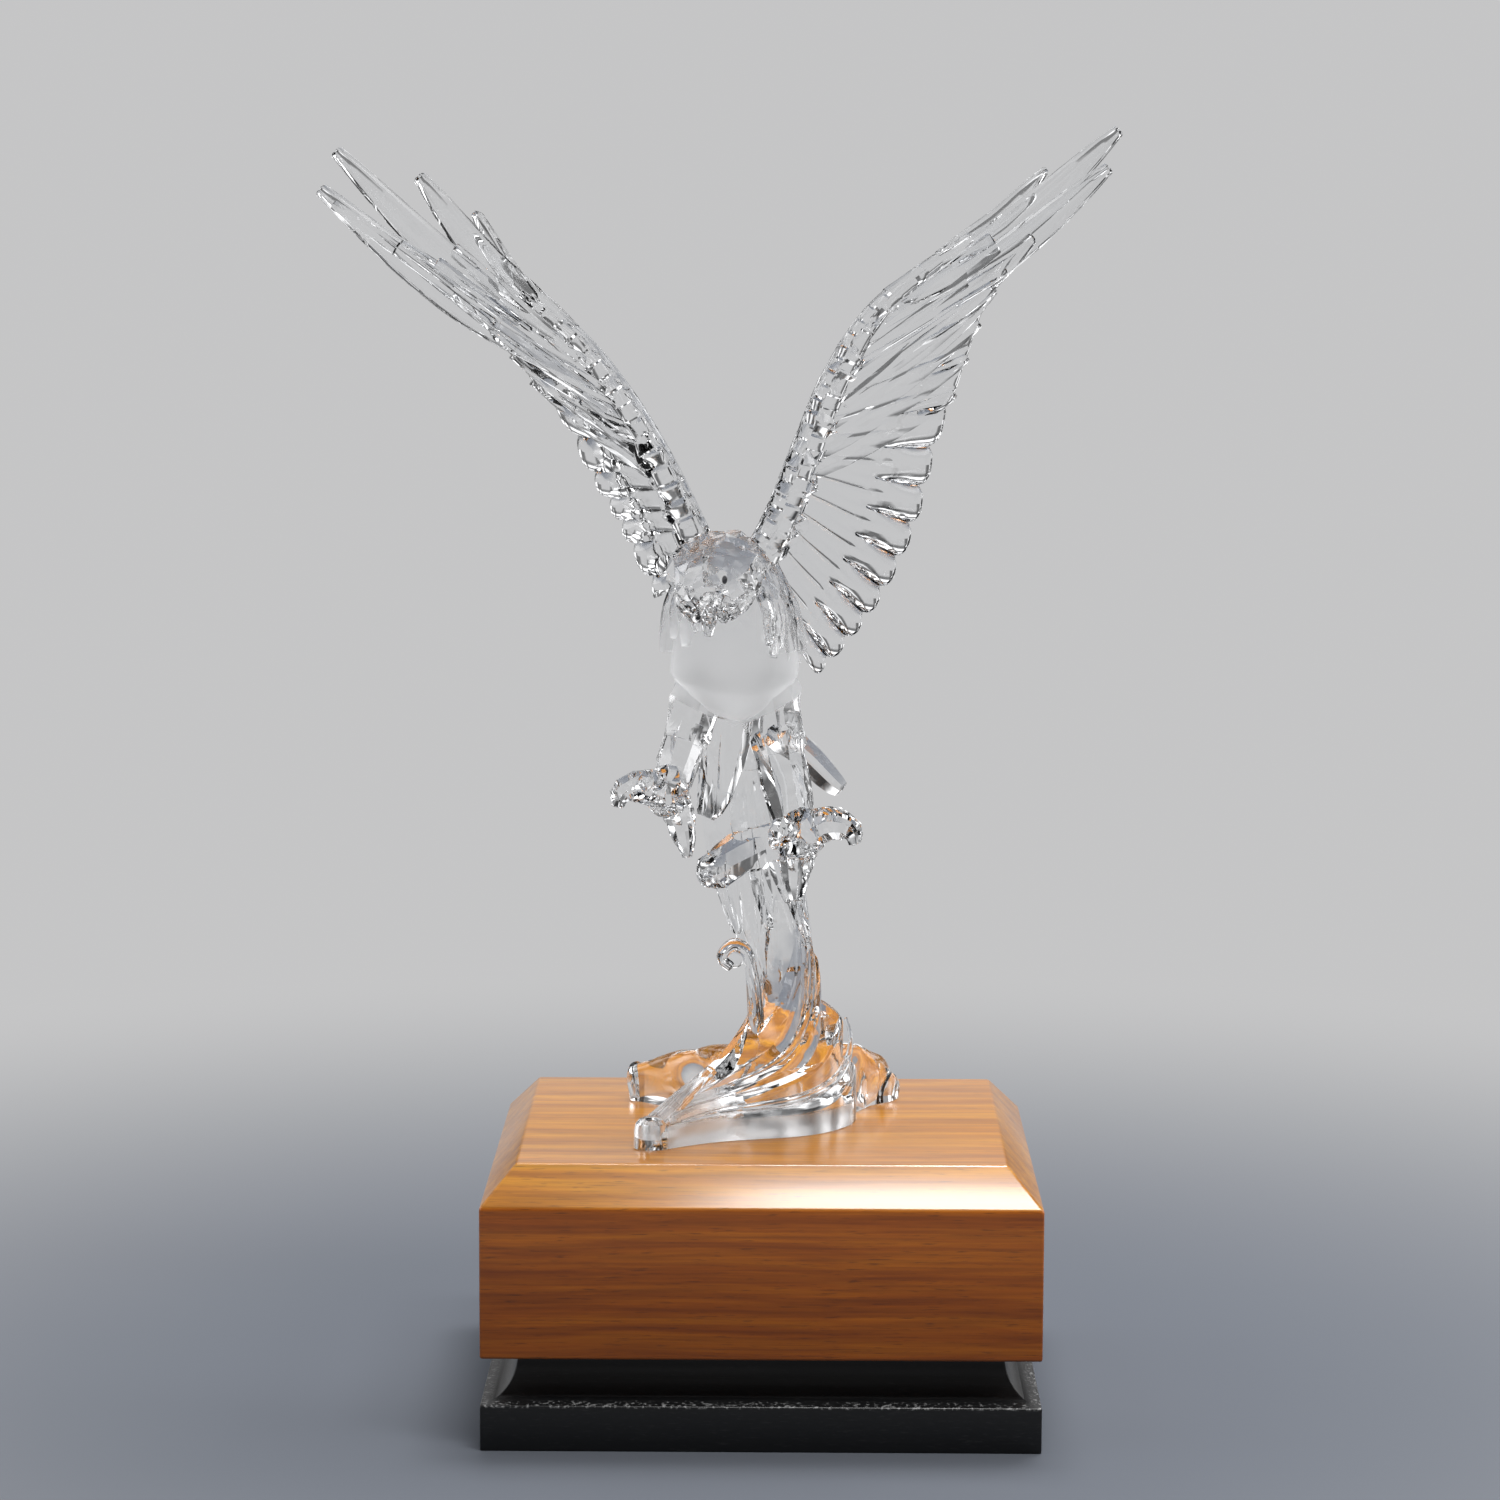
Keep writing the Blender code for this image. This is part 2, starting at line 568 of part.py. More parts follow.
# The wave's foot is cut level just above the block
level_cutter = plain_box("level_cutter", EAGLE_HEIGHT, EAGLE_HEIGHT, -BLOCK_TOP, EAGLE_FLOOR)
shown.objects.unlink(level_cutter)
cutters.objects.link(level_cutter)
level_cutter.hide_render = True
level_cutter.display_type = "WIRE"
combine([eagle, level_cutter], "DIFFERENCE")
tidy(eagle)

# Materials
finishes = (
    (eagle, plain_material("clear_acrylic", (0.93, 0.95, 0.96), 0.02, 0.25)),
    (wood_block, plain_material("wood", (0.42, 0.19, 0.065), 0.30)),
    (black_base, plain_material("black_paint", (0.012, 0.012, 0.014), 0.35)),
)
for solid, material in finishes:
    solid.data.materials.clear()
    solid.data.materials.append(material)
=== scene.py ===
import math

import bmesh
import bpy
import numpy as np
from mathutils import Matrix, Vector


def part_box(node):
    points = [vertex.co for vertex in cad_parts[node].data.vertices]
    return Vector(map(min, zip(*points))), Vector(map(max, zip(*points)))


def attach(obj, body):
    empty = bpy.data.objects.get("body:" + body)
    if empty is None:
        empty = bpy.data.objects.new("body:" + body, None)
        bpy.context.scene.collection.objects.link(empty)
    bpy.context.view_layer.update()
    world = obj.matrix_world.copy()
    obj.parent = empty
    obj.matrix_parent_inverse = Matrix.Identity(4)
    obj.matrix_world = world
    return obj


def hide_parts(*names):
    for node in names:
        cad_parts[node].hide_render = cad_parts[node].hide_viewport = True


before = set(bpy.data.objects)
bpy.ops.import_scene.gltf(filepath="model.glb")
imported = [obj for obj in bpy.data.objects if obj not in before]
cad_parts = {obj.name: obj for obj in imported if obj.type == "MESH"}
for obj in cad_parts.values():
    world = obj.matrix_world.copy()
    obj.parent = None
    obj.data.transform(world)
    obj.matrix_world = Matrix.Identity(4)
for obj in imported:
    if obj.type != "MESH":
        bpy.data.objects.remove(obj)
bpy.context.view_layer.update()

# Camera, floor and studio. The camera stands straight in front, a little above the plinth, with a long lens.
# The floor is grey paper that fades into a pale surround. Bright boxes and dark flags in that surround are
# what the clear acrylic shows; four soft boxes light the plinth and the floor.
CAMERA_PLACE = (0.0060, -1.3655, 0.3976)
CAMERA_TILT = 7.64
CAMERA_TURN = 0.45
CAMERA_ROLL = 0.20
LENS_MM = 100.8
PALE = (0.56, 0.56, 0.565)
PAPER = (0.068, 0.074, 0.086)
FLOOR_RADIUS = 9.0
FADE_START = 0.14
FADE_END = 0.75

camera = bpy.data.objects.new("camera", bpy.data.cameras.new("camera"))
bpy.context.scene.collection.objects.link(camera)
camera.data.lens = LENS_MM
camera.data.sensor_width = 36.0
camera.data.clip_start = 0.02
camera.data.clip_end = 60.0
turn = Matrix.Rotation(math.radians(CAMERA_TURN), 3, "Z")
tilt = Matrix.Rotation(math.radians(90.0 - CAMERA_TILT), 3, "X")
roll = Matrix.Rotation(math.radians(CAMERA_ROLL), 3, "Z")
camera.matrix_world = Matrix.Translation(CAMERA_PLACE) @ (turn @ tilt @ roll).to_4x4()
scene = bpy.context.scene
scene.camera = camera
scene.view_settings.view_transform = "Standard"
scene.cycles.max_bounces = 32
scene.cycles.transmission_bounces = 32
scene.cycles.transparent_max_bounces = 32
scene.cycles.caustics_reflective = False
scene.cycles.caustics_refractive = False


def nodes_of(tree):
    """Short ways to add a node and to join two sockets in a node tree."""
    def add(kind, **values):
        node = tree.nodes.new(kind)
        for name, value in values.items():
            setattr(node, name, value)
        return node

    def join(out, into):
        tree.links.new(out, into)
    return add, join


def feed(node, *given):
    """Gives a node's inputs, in turn, another node's socket or a plain value."""
    for socket, value in zip(node.inputs, given):
        if isinstance(value, bpy.types.NodeSocket):
            node.id_data.links.new(value, socket)
        else:
            socket.default_value = value
    return node


def maths(tree, operation, *given):
    node = tree.nodes.new("ShaderNodeMath")
    node.operation = operation
    return feed(node, *given).outputs[0]


def ranged(tree, value, low, high, to_low=0.0, to_high=1.0):
    """A value brought from one range to another and held at both ends."""
    return feed(tree.nodes.new("ShaderNodeMapRange"), value, low, high, to_low, to_high).outputs[0]


def toned(tree, value, stops):
    """A run of colours along a value, each at its place from 0 to 1."""
    node = feed(tree.nodes.new("ShaderNodeValToRGB"), value)
    run = node.color_ramp.elements
    run[1].position = stops[-1][0]
    run[0].position = stops[0][0]
    for position, colour in stops[1:-1]:
        run.new(position)
    for element, (position, colour) in zip(run, stops):
        element.color = (*colour, 1.0)
    return node.outputs["Color"]


def blended(tree, first, second, factor, blend="MIX"):
    """Two colours mixed, or the first multiplied by the second."""
    add, join = nodes_of(tree)
    node = add("ShaderNodeMix", data_type="RGBA", blend_type=blend)
    for name, value in (("A", first), ("B", second), ("Factor", factor)):
        if isinstance(value, bpy.types.NodeSocket):
            join(value, node.inputs[name])
        else:
            node.inputs[name].default_value = value
    return node.outputs["Result"]


def studio_surround():
    """Pale to the camera; glass and gloss see the boxes and flags of a studio."""
    world = bpy.data.worlds.new("studio")
    world.use_nodes = True
    bpy.context.scene.world = world
    tree = world.node_tree
    tree.nodes.clear()
    add, join = nodes_of(tree)
    split = feed(add("ShaderNodeSeparateXYZ"), add("ShaderNodeTexCoord").outputs["Generated"])

    # Upwards: pale at the horizon, then three bright boxes with dark flags between them
    ceiling = toned(tree, split.outputs["Z"], [(0.0, PALE), (0.15, PALE)] + [
        (position, (tone, tone, tone * 1.01)) for position, tone in (
            (0.22, 0.18), (0.30, 0.18), (0.36, 1.5), (0.46, 1.5), (0.52, 0.15), (0.60, 0.15), (0.66, 1.4),
            (0.72, 1.4), (0.76, 0.12), (0.80, 0.12), (0.85, 1.5), (0.94, 1.5), (0.97, 0.30))])

    # Sideways: two dark flags and two bright boxes on each side
    ring = toned(tree, maths(tree, "ABSOLUTE", split.outputs["X"]), [
        (position, (tone, tone, tone)) for position, tone in (
            (0.0, 1.0), (0.20, 1.0), (0.27, 0.22), (0.36, 0.22), (0.42, 1.8), (0.49, 1.8), (0.54, 0.25),
            (0.62, 0.25), (0.70, 2.7), (0.88, 2.7), (0.94, 0.6), (1.0, 1.2))])
    boxes = blended(tree, ceiling, ring, 1.0, "MULTIPLY")

    # The room is darker on the camera's side
    dimmed = feed(add("ShaderNodeVectorMath", operation="SCALE"), boxes)
    join(ranged(tree, split.outputs["Y"], -0.35, 0.05, 0.42), dimmed.inputs["Scale"])
    rays = add("ShaderNodeLightPath")
    seen = blended(tree, dimmed.outputs[0], (*PALE, 1.0), rays.outputs["Is Camera Ray"])
    light = feed(add("ShaderNodeBackground"), seen, 1.0)
    join(light.outputs[0], add("ShaderNodeOutputWorld").inputs["Surface"])


studio_surround()

bpy.ops.object.select_all(action="DESELECT")
bpy.ops.mesh.primitive_circle_add(vertices=96, radius=FLOOR_RADIUS, fill_type="NGON", location=(0.0, 0.0, 0.0))
floor = bpy.context.object
floor.name = "floor"


def floor_material():
    """Matt grey paper that fades into the surround with distance."""
    material = bpy.data.materials.new("pale_floor")
    material.use_nodes = True
    tree = material.node_tree
    tree.nodes.clear()
    add, join = nodes_of(tree)
    place = add("ShaderNodeTexCoord").outputs["Object"]
    distance = feed(add("ShaderNodeVectorMath", operation="LENGTH"), place).outputs["Value"]
    fade = feed(add("ShaderNodeMapRange", interpolation_type="SMOOTHSTEP"), distance, FADE_START, FADE_END)
    paper = feed(add("ShaderNodeBsdfDiffuse"), (*PAPER, 1.0))
    glow = feed(add("ShaderNodeEmission"), (*PALE, 1.0))
    mixed = feed(add("ShaderNodeMixShader"), fade.outputs["Result"], paper.outputs[0], glow.outputs[0])
    join(mixed.outputs[0], add("ShaderNodeOutputMaterial").inputs["Surface"])
    return material


floor.data.materials.append(floor_material())
lit = bpy.data.collections.new("lit_by_soft_boxes")
lit.objects.link(floor)


def soft_box(name, place, towards, width, height, watts):
    """A lamp for the floor and the plinth; the acrylic shows the surround instead."""
    lamp = bpy.data.lights.new(name, "AREA")
    lamp.shape = "RECTANGLE"
    lamp.size = width
    lamp.size_y = height
    lamp.energy = watts
    box = bpy.data.objects.new(name, lamp)
    bpy.context.scene.collection.objects.link(box)
    box.location = place
    aim = Vector(towards) - Vector(place)
    box.rotation_euler = aim.to_track_quat("-Z", "Y").to_euler()
    box.visible_camera = False
    box.light_linking.receiver_collection = lit


soft_box("front_box", (0.40, -0.60, 1.55), (0.40, -0.07, 0.085), 0.96, 0.28, 29.0)
soft_box("top_box", (0.10, 0.30, 1.50), (0.0, 0.0, 0.09), 0.6, 0.4, 42.0)
soft_box("left_box", (-1.25, -0.55, 0.75), (0.0, 0.0, 0.25), 0.5, 0.9, 1.0)
soft_box("right_box", (1.25, -0.45, 0.85), (0.0, 0.0, 0.25), 0.5, 0.9, 2.0)

# Black base: a slab of wood with a cove worked round its top, so that it narrows up to the block.
# It is sanded and brushed with satin black paint; the grain shows faintly and the edges have rubbed.
base_low, base_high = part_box("black_base")
SLAB_TOP = 0.0148
COVE_FOOT_INSET = 0.0010
COVE_TOP_INSET = 0.0115
COVE_FILLET = 0.0002
COVE_RINGS = 14
SLAB_EDGE = 0.0005
PAINT_BLACK = (0.0022, 0.0023, 0.0026, 1.0)
RUBBED_GREY = (0.16, 0.16, 0.16, 1.0)


def finished(piece, node, smooth_degrees):
    """Applies the modifiers, smooths the faces and hands the piece over in place of its node."""
    bpy.ops.object.select_all(action="DESELECT")
    piece.select_set(True)
    bpy.context.view_layer.objects.active = piece
    for modifier in list(piece.modifiers):
        bpy.ops.object.modifier_apply(modifier=modifier.name)
    bpy.ops.object.transform_apply(location=True, rotation=True, scale=True)
    bpy.ops.object.shade_smooth_by_angle(angle=math.radians(smooth_degrees))
    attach(piece, "root")
    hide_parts(node)


def block_from(name, low, high):
    """A box between two corners, with its place in its mesh."""
    bpy.ops.object.select_all(action="DESELECT")
    bpy.ops.mesh.primitive_cube_add(size=1.0, location=(low + high) / 2.0)
    piece = bpy.context.object
    piece.name = name
    piece.scale = high - low
    bpy.ops.object.transform_apply(location=True, rotation=False, scale=True)
    return piece


def pick_faces(piece, test):
    """Selects the faces whose middle and normal pass the test, and goes to edit mode."""
    bpy.ops.object.mode_set(mode="EDIT")
    bpy.ops.mesh.select_mode(type="FACE")
    bpy.ops.mesh.select_all(action="DESELECT")
    mesh = bmesh.from_edit_mesh(piece.data)
    for face in mesh.faces:
        face.select_set(test(face.calc_center_median(), face.normal))
    bmesh.update_edit_mesh(piece.data)


def narrow_top(half_width, half_depth, to_width, to_depth, rise):
    """Raises the selected top face and brings it from one half size to another."""
    bpy.ops.mesh.extrude_region_move(TRANSFORM_OT_translate={"value": (0.0, 0.0, rise)})
    bpy.ops.transform.resize(
        value=(to_width / half_width, to_depth / half_depth, 1.0), center_override=(0.0, 0.0, 0.0))


black_base = block_from(
    "black_base_painted", base_low, Vector((base_high.x, base_high.y, SLAB_TOP)))
pick_faces(black_base, lambda middle, normal: normal.z > 0.9)
reach_x, reach_y = base_high.x, base_high.y
level = SLAB_TOP
inset = 0.0
cove_height = base_high.z - SLAB_TOP
for ring in range(COVE_RINGS + 1):
    angle = math.radians(90.0 * ring / COVE_RINGS)
    new_inset = COVE_FOOT_INSET + (COVE_TOP_INSET - COVE_FOOT_INSET) * math.sin(angle)
    new_level = SLAB_TOP + COVE_FILLET + (cove_height - COVE_FILLET) * (1.0 - math.cos(angle))
    narrow_top(reach_x - inset, reach_y - inset, reach_x - new_inset, reach_y - new_inset,
               new_level - level)
    inset = new_inset
    level = new_level
bpy.ops.object.mode_set(mode="OBJECT")
rounding = black_base.modifiers.new("rubbed_edges", "BEVEL")
rounding.width = SLAB_EDGE
rounding.segments = 3
rounding.limit_method = "ANGLE"
rounding.angle_limit = math.radians(50.0)


def noise_at(tree, place, scale, detail, roughness=0.5):
    noise = feed(tree.nodes.new("ShaderNodeTexNoise"), place)
    noise.inputs["Scale"].default_value = scale
    noise.inputs["Detail"].default_value = detail
    noise.inputs["Roughness"].default_value = roughness
    return noise


def bumped(tree, height, strength, distance):
    bump = tree.nodes.new("ShaderNodeBump")
    bump.inputs["Strength"].default_value = strength
    bump.inputs["Distance"].default_value = distance
    tree.links.new(height, bump.inputs["Height"])
    return bump.outputs["Normal"]


def fine_grain_group():
    """Fibres that run along X: long streaks, and short pores between them."""
    group = bpy.data.node_groups.new("fine_grain", "ShaderNodeTree")
    face = group.interface
    for name, usual in (("Streak Length", 0.05), ("Streak Width", 0.001)):
        face.new_socket(name, in_out="INPUT", socket_type="NodeSocketFloat").default_value = usual
    for name in ("Streaks", "Pores"):
        face.new_socket(name, in_out="OUTPUT", socket_type="NodeSocketFloat")
    add, join = nodes_of(group)
    given = add("NodeGroupInput")
    sent = add("NodeGroupOutput")
    place = add("ShaderNodeTexCoord").outputs["Object"]

    def stretched(long_share, wide_share, detail):
        along = maths(group, "DIVIDE", long_share, given.outputs["Streak Length"])
        across = maths(group, "DIVIDE", wide_share, given.outputs["Streak Width"])
        scale = feed(add("ShaderNodeCombineXYZ"), along, across, across)
        point = feed(add("ShaderNodeVectorMath", operation="MULTIPLY"), place, scale.outputs[0])
        return noise_at(group, point.outputs[0], 1.0, detail, 0.6).outputs["Fac"]

    join(stretched(1.0, 1.0, 4.0), sent.inputs["Streaks"])
    join(ranged(group, stretched(6.0, 2.4, 2.0), 0.60, 0.72), sent.inputs["Pores"])
    return group


fine_grain = fine_grain_group()


def black_paint():
    """Satin black over the grain, rubbed to grey in specks along the slab's upper edge."""
    material = bpy.data.materials.new("black_paint")
    material.use_nodes = True
    tree = material.node_tree
    add, join = nodes_of(tree)
    shader = tree.nodes["Principled BSDF"]
    shader.inputs["Specular IOR Level"].default_value = 0.45
    grain = feed(add("ShaderNodeGroup", node_tree=fine_grain), 0.020, 0.0009)
    place = add("ShaderNodeTexCoord").outputs["Object"]
    split = feed(add("ShaderNodeSeparateXYZ"), place)
    from_edge = maths(tree, "ABSOLUTE", maths(tree, "SUBTRACT", split.outputs["Z"], SLAB_TOP))
    specks = ranged(tree, noise_at(tree, place, 900.0, 3.0).outputs["Fac"], 0.54, 0.66)
    rubbed = maths(tree, "MULTIPLY", ranged(tree, from_edge, 0.0009, 0.0002), specks)
    scratched = maths(tree, "MULTIPLY", grain.outputs["Pores"], 0.06)
    worn = maths(tree, "MAXIMUM", rubbed, scratched)
    join(blended(tree, PAINT_BLACK, RUBBED_GREY, worn), shader.inputs["Base Color"])
    join(ranged(tree, grain.outputs["Streaks"], 0.0, 1.0, 0.30, 0.48), shader.inputs["Roughness"])
    join(bumped(tree, grain.outputs["Streaks"], 0.15, 0.0002), shader.inputs["Normal"])
    return material


black_base.data.materials.append(black_paint())
finished(black_base, "black_base", 40.0)
lit.objects.link(black_base)

# Wooden block: warm brown hardwood with the grain along its width, chamfered round the top, sanded and
# varnished. It stands on the black base and carries the acrylic.
block_low, block_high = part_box("wood_block")
CHAMFER_IN = 0.0111
CHAMFER_DOWN = 0.0122
WOOD_EDGE = 0.0008
WOOD_DARK = (0.130, 0.024, 0.0004)
WOOD_MIDDLE = (0.240, 0.056, 0.0006)
WOOD_LIGHT = (0.335, 0.094, 0.0015)
PORE_BROWN = (0.05, 0.014, 0.002, 1.0)
# Painted light on the top and chamfer: a yellower, lighter tint
TOP_PAINTED_LIGHT = (1.0, 1.55, 1.2, 1.0)

wood_block = block_from(
    "wood_block_varnished", block_low, Vector((block_high.x, block_high.y, block_high.z - CHAMFER_DOWN)))
pick_faces(wood_block, lambda middle, normal: normal.z > 0.9)
narrow_top(block_high.x, block_high.y, block_high.x - CHAMFER_IN, block_high.y - CHAMFER_IN, CHAMFER_DOWN)
bpy.ops.object.mode_set(mode="OBJECT")
rounding = wood_block.modifiers.new("soft_edges", "BEVEL")
rounding.width = WOOD_EDGE
rounding.segments = 4
rounding.limit_method = "ANGLE"
rounding.angle_limit = math.radians(20.0)


def varnished_wood():
    """Warm brown wood with streaks and pores, under satin varnish."""
    material = bpy.data.materials.new("varnished_wood")
    material.use_nodes = True
    tree = material.node_tree
    add, join = nodes_of(tree)
    shader = tree.nodes["Principled BSDF"]
    shader.inputs["Coat Weight"].default_value = 0.85
    shader.inputs["Coat Roughness"].default_value = 0.22
    shader.inputs["Specular IOR Level"].default_value = 0.12
    place = add("ShaderNodeTexCoord").outputs["Object"]

    # Slow bands of the growth rings, bent a little by the tree's own waves
    wander = noise_at(tree, place, 9.0, 2.0).outputs["Color"]
    shift = feed(add("ShaderNodeVectorMath", operation="SCALE"), wander)
    shift.inputs["Scale"].default_value = 0.012
    bent = feed(add("ShaderNodeVectorMath", operation="ADD"), place, shift.outputs[0])
    drawn_out = feed(add("ShaderNodeVectorMath", operation="MULTIPLY"), bent.outputs[0], (5.0, 190.0, 230.0))
    bands = noise_at(tree, drawn_out.outputs[0], 1.0, 5.0, 0.62)
    tone = toned(tree, bands.outputs["Fac"], ((0.25, WOOD_DARK), (0.5, WOOD_MIDDLE), (0.75, WOOD_LIGHT)))

    grain = feed(add("ShaderNodeGroup", node_tree=fine_grain), 0.050, 0.0011)
    streaks = grain.outputs["Streaks"]
    shaded = blended(tree, tone, ranged(tree, streaks, 0.3, 0.7, 0.72, 1.16), 1.0, "MULTIPLY")
    deep = maths(tree, "MULTIPLY", grain.outputs["Pores"], 0.62)
    pored = blended(tree, shaded, PORE_BROWN, deep)

    # Painted light: the chamfer and the top, which the lamps light most, are tinted yellower and lighter; the
    # sides keep their red
    split = feed(add("ShaderNodeSeparateXYZ"), place)
    chamfer_foot = block_high.z - CHAMFER_DOWN
    upper = ranged(tree, split.outputs["Z"], chamfer_foot - 0.0003, chamfer_foot + 0.0006)
    join(blended(tree, pored, TOP_PAINTED_LIGHT, upper, "MULTIPLY"), shader.inputs["Base Color"])
    join(ranged(tree, streaks, 0.0, 1.0, 0.26, 0.44), shader.inputs["Roughness"])
    join(bumped(tree, streaks, 0.12, 0.0002), shader.inputs["Normal"])
    return material


wood_block.data.materials.append(varnished_wood())
finished(wood_block, "wood_block", 30.0)
lit.objects.link(wood_block)

# Wave: the foot of the acrylic, with terraces that sweep from a rounded toe in front up into a twisted
# column, a curling crest on the left and two short arms at the back. It is one casting with the eagle,
# polished, and stands on the block.
MM = 0.001
EAGLE_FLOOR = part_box("eagle")[0].z
LIFT = np.array((0.0, 0.0, EAGLE_FLOOR))
BELOW = -9.0
casting = []


def curve_at(points, t):
    """The value or point at t, from 0 to 1, on a smooth curve through evenly spaced ones."""
    count = len(points)
    place = min(max(t, 0.0), 1.0) * (count - 1)
    low = min(int(place), count - 2)
    part = place - low
    before, start, end, after = (
        np.asarray(points[min(max(low + k, 0), count - 1)], float) for k in (-1, 0, 1, 2))
    return 0.5 * (
        2.0 * start + (end - before) * part
        + (2.0 * before - 5.0 * start + 4.0 * end - after) * part ** 2
        + (3.0 * start - before - 3.0 * end + after) * part ** 3)


def unit(vector):
    return vector / max(np.linalg.norm(vector), 1e-9)


def skin(name, rings):
    """A closed solid through rings of equal count, in millimetres above the block."""
    rings = np.asarray(rings, float)
    rows, count = rings.shape[:2]
    ends = np.array((rings[0].mean(0), rings[-1].mean(0)))
    points = np.vstack((rings.reshape(-1, 3), ends)) * MM + LIFT
    faces = []
    for row in range(rows - 1):
        for i in range(count):
            j = (i + 1) % count
            a, b = row * count, (row + 1) * count
            faces.append((a + i, a + j, b + j, b + i))
    first, last = rows * count, rows * count + 1
    top = (rows - 1) * count
    for i in range(count):
        j = (i + 1) % count
        faces.append((j, i, first))
        faces.append((top + i, top + j, last))
    volume = 0.0
    for face in faces:
        a = points[face[0]]
        for k in range(1, len(face) - 1):
            volume += np.dot(a, np.cross(points[face[k]], points[face[k + 1]]))
    if volume < 0.0:
        faces = [face[::-1] for face in faces]
    data = bpy.data.meshes.new(name)
    data.from_pydata([tuple(point) for point in points], [], faces)
    made = bpy.data.objects.new(name, data)
    bpy.context.scene.collection.objects.link(made)
    casting.append(made)
    return made


def facing_at(points, t, facing):
    """The place, the direction across and the direction out at t along a curve."""
    place = curve_at(points, t)
    along = unit(curve_at(points, min(t + 0.01, 1.0)) - curve_at(points, max(t - 0.01, 0.0)))
    across = unit(np.cross(along, facing))
    return place, across, unit(np.cross(across, along))


def path_length(points):
    spots = [curve_at(points, k / 40.0) for k in range(41)]
    return sum(np.linalg.norm(b - a) for a, b in zip(spots, spots[1:]))


def stops(points, stations, start_round, end_round):
    """Where the rings go along a path, and how far each is drawn in to round the ends."""
    length = path_length(points)
    low = start_round / length
    high = 1.0 - end_round / length
    places = []
    if start_round > 0.0:
        for k in range(4):
            angle = math.radians(90.0 - 22.5 * k)
            places.append((low * (1.0 - math.sin(angle)), start_round * (1.0 - math.cos(angle))))
    for k in range(stations):
        places.append((low + (high - low) * k / (stations - 1), 0.0))
    if end_round > 0.0:
        for k in range(1, 5):
            angle = math.radians(22.5 * k)
            places.append((high + (1.0 - high) * math.sin(angle), end_round * (1.0 - math.cos(angle))))
    return places


def bar(name, points, widths, depths, facing, sides=16, stations=24, square=1.0,
        start_round=0.0, end_round=0.0, relief=None, shape=None):
    """A rounded bar along a curve, with its ends rounded off where asked."""
    facing = np.asarray(facing, float)
    rings = []
    for t, drawn in stops(points, stations, start_round, end_round):
        place, across, out = facing_at(points, t, facing)
        half_width = max(float(curve_at(widths, t)) - drawn, 0.12)
        half_depth = max(float(curve_at(depths, t)) - drawn, 0.12)
        ring = []
        for k in range(sides):
            angle = 2.0 * math.pi * (k + 0.5) / sides
            x = math.copysign(abs(math.cos(angle)) ** square, math.cos(angle))
            y = math.copysign(abs(math.sin(angle)) ** square, math.sin(angle))
            proud = relief(t, angle) if relief and drawn == 0.0 else 0.0
            outward = unit(across * x * half_depth + out * y * half_width)
            point = place + across * half_width * x + out * half_depth * y + outward * proud
            ring.append(shape(point) if shape else point)
        rings.append(ring)
    return skin(name, rings)


BLUNT = (0.70, 0.86, 0.98, 1.0, 0.97, 0.88)
SPEAR = (0.70, 0.90, 1.0, 0.98, 0.86, 0.62, 0.34)
RIDGED = ((-1.0, 0.12), (-0.94, 0.22), (-0.62, 0.30), (0.18, 0.50), (0.62, 0.34), (0.94, 0.20), (1.0, 0.12))
RIMMED = ((-1.0, 0.18), (-0.88, 0.42), (-0.70, 0.45), (-0.42, 0.38), (0.0, 0.32),
          (0.42, 0.38), (0.70, 0.45), (0.88, 0.42), (1.0, 0.18))


def blade(name, root, tip, half_width, thickness, facing, bow, outline, stations=18, section=RIDGED,
          tip_round=1.6):
    """A flat feather, ridged or rimmed, with rounded edges and bowed sideways."""
    facing = np.asarray(facing, float)
    root, tip, bow = (np.asarray(value, float) for value in (root, tip, bow))
    path = [root, (root + tip) * 0.5 + bow, tip]
    rings = []
    for t, drawn in stops(path, stations, 0.0, tip_round):
        place, across, out = facing_at(path, t, facing)
        half_width_here = max(half_width * float(curve_at(outline, t)) - drawn, 0.12)
        shrink = max(1.0 - drawn / (thickness * 0.62), 0.12)
        upper, lower = [], []
        for share, half in section:
            sideways = across * half_width_here * share
            raised = out * thickness * half * shrink
            upper.append(place + sideways + raised)
            lower.append(place + sideways - raised)
        rings.append(upper + lower[::-1])
    return skin(name, rings)


def chance(column, row):
    """A fixed number from 0 to 1 for a place in a pattern."""
    return (math.sin(column * 12.9898 + row * 78.233) * 43758.5453) % 1.0


def broken(columns, rows, height):
    """Uneven flat facets round a bar, each with a tilt of its own."""
    def relief(t, angle):
        across = (angle / (2.0 * math.pi)) % 1.0 * columns
        along = t * rows
        nearest = None
        for column in range(int(across) - 1, int(across) + 2):
            for row in range(int(along) - 1, int(along) + 2):
                key = column % columns
                over = across - column - 0.15 - 0.7 * chance(key, row + 0.3)
                up = along - row - 0.15 - 0.7 * chance(key + 0.4, row)
                far = over * over + up * up
                if nearest is None or far < nearest[0]:
                    nearest = (far, key, row, over, up)
        key, row, over, up = nearest[1:]
        tilt = (chance(key + 1.7, row) - 0.5) * over + (chance(key, row + 2.9) - 0.5) * up
        ends = min(1.0, 8.0 * t, 8.0 * (1.0 - t))
        return height * (1.6 * tilt + 0.5 * (chance(key + 5.1, row) - 0.5)) * ends
    return relief


def ease(low, high, value):
    """From 0 to 1 as the value goes from low to high, slow at both ends."""
    share = min(max((value - low) / (high - low), 0.0), 1.0)
    return share * share * (3.0 - 2.0 * share)


def gem(height):
    """Cut faces on a coarse bar: each corner stands a little in or out."""
    def relief(t, angle):
        return 2.0 * height * (chance(round(angle * 20.0), round(t * 60.0)) - 0.5)
    return relief


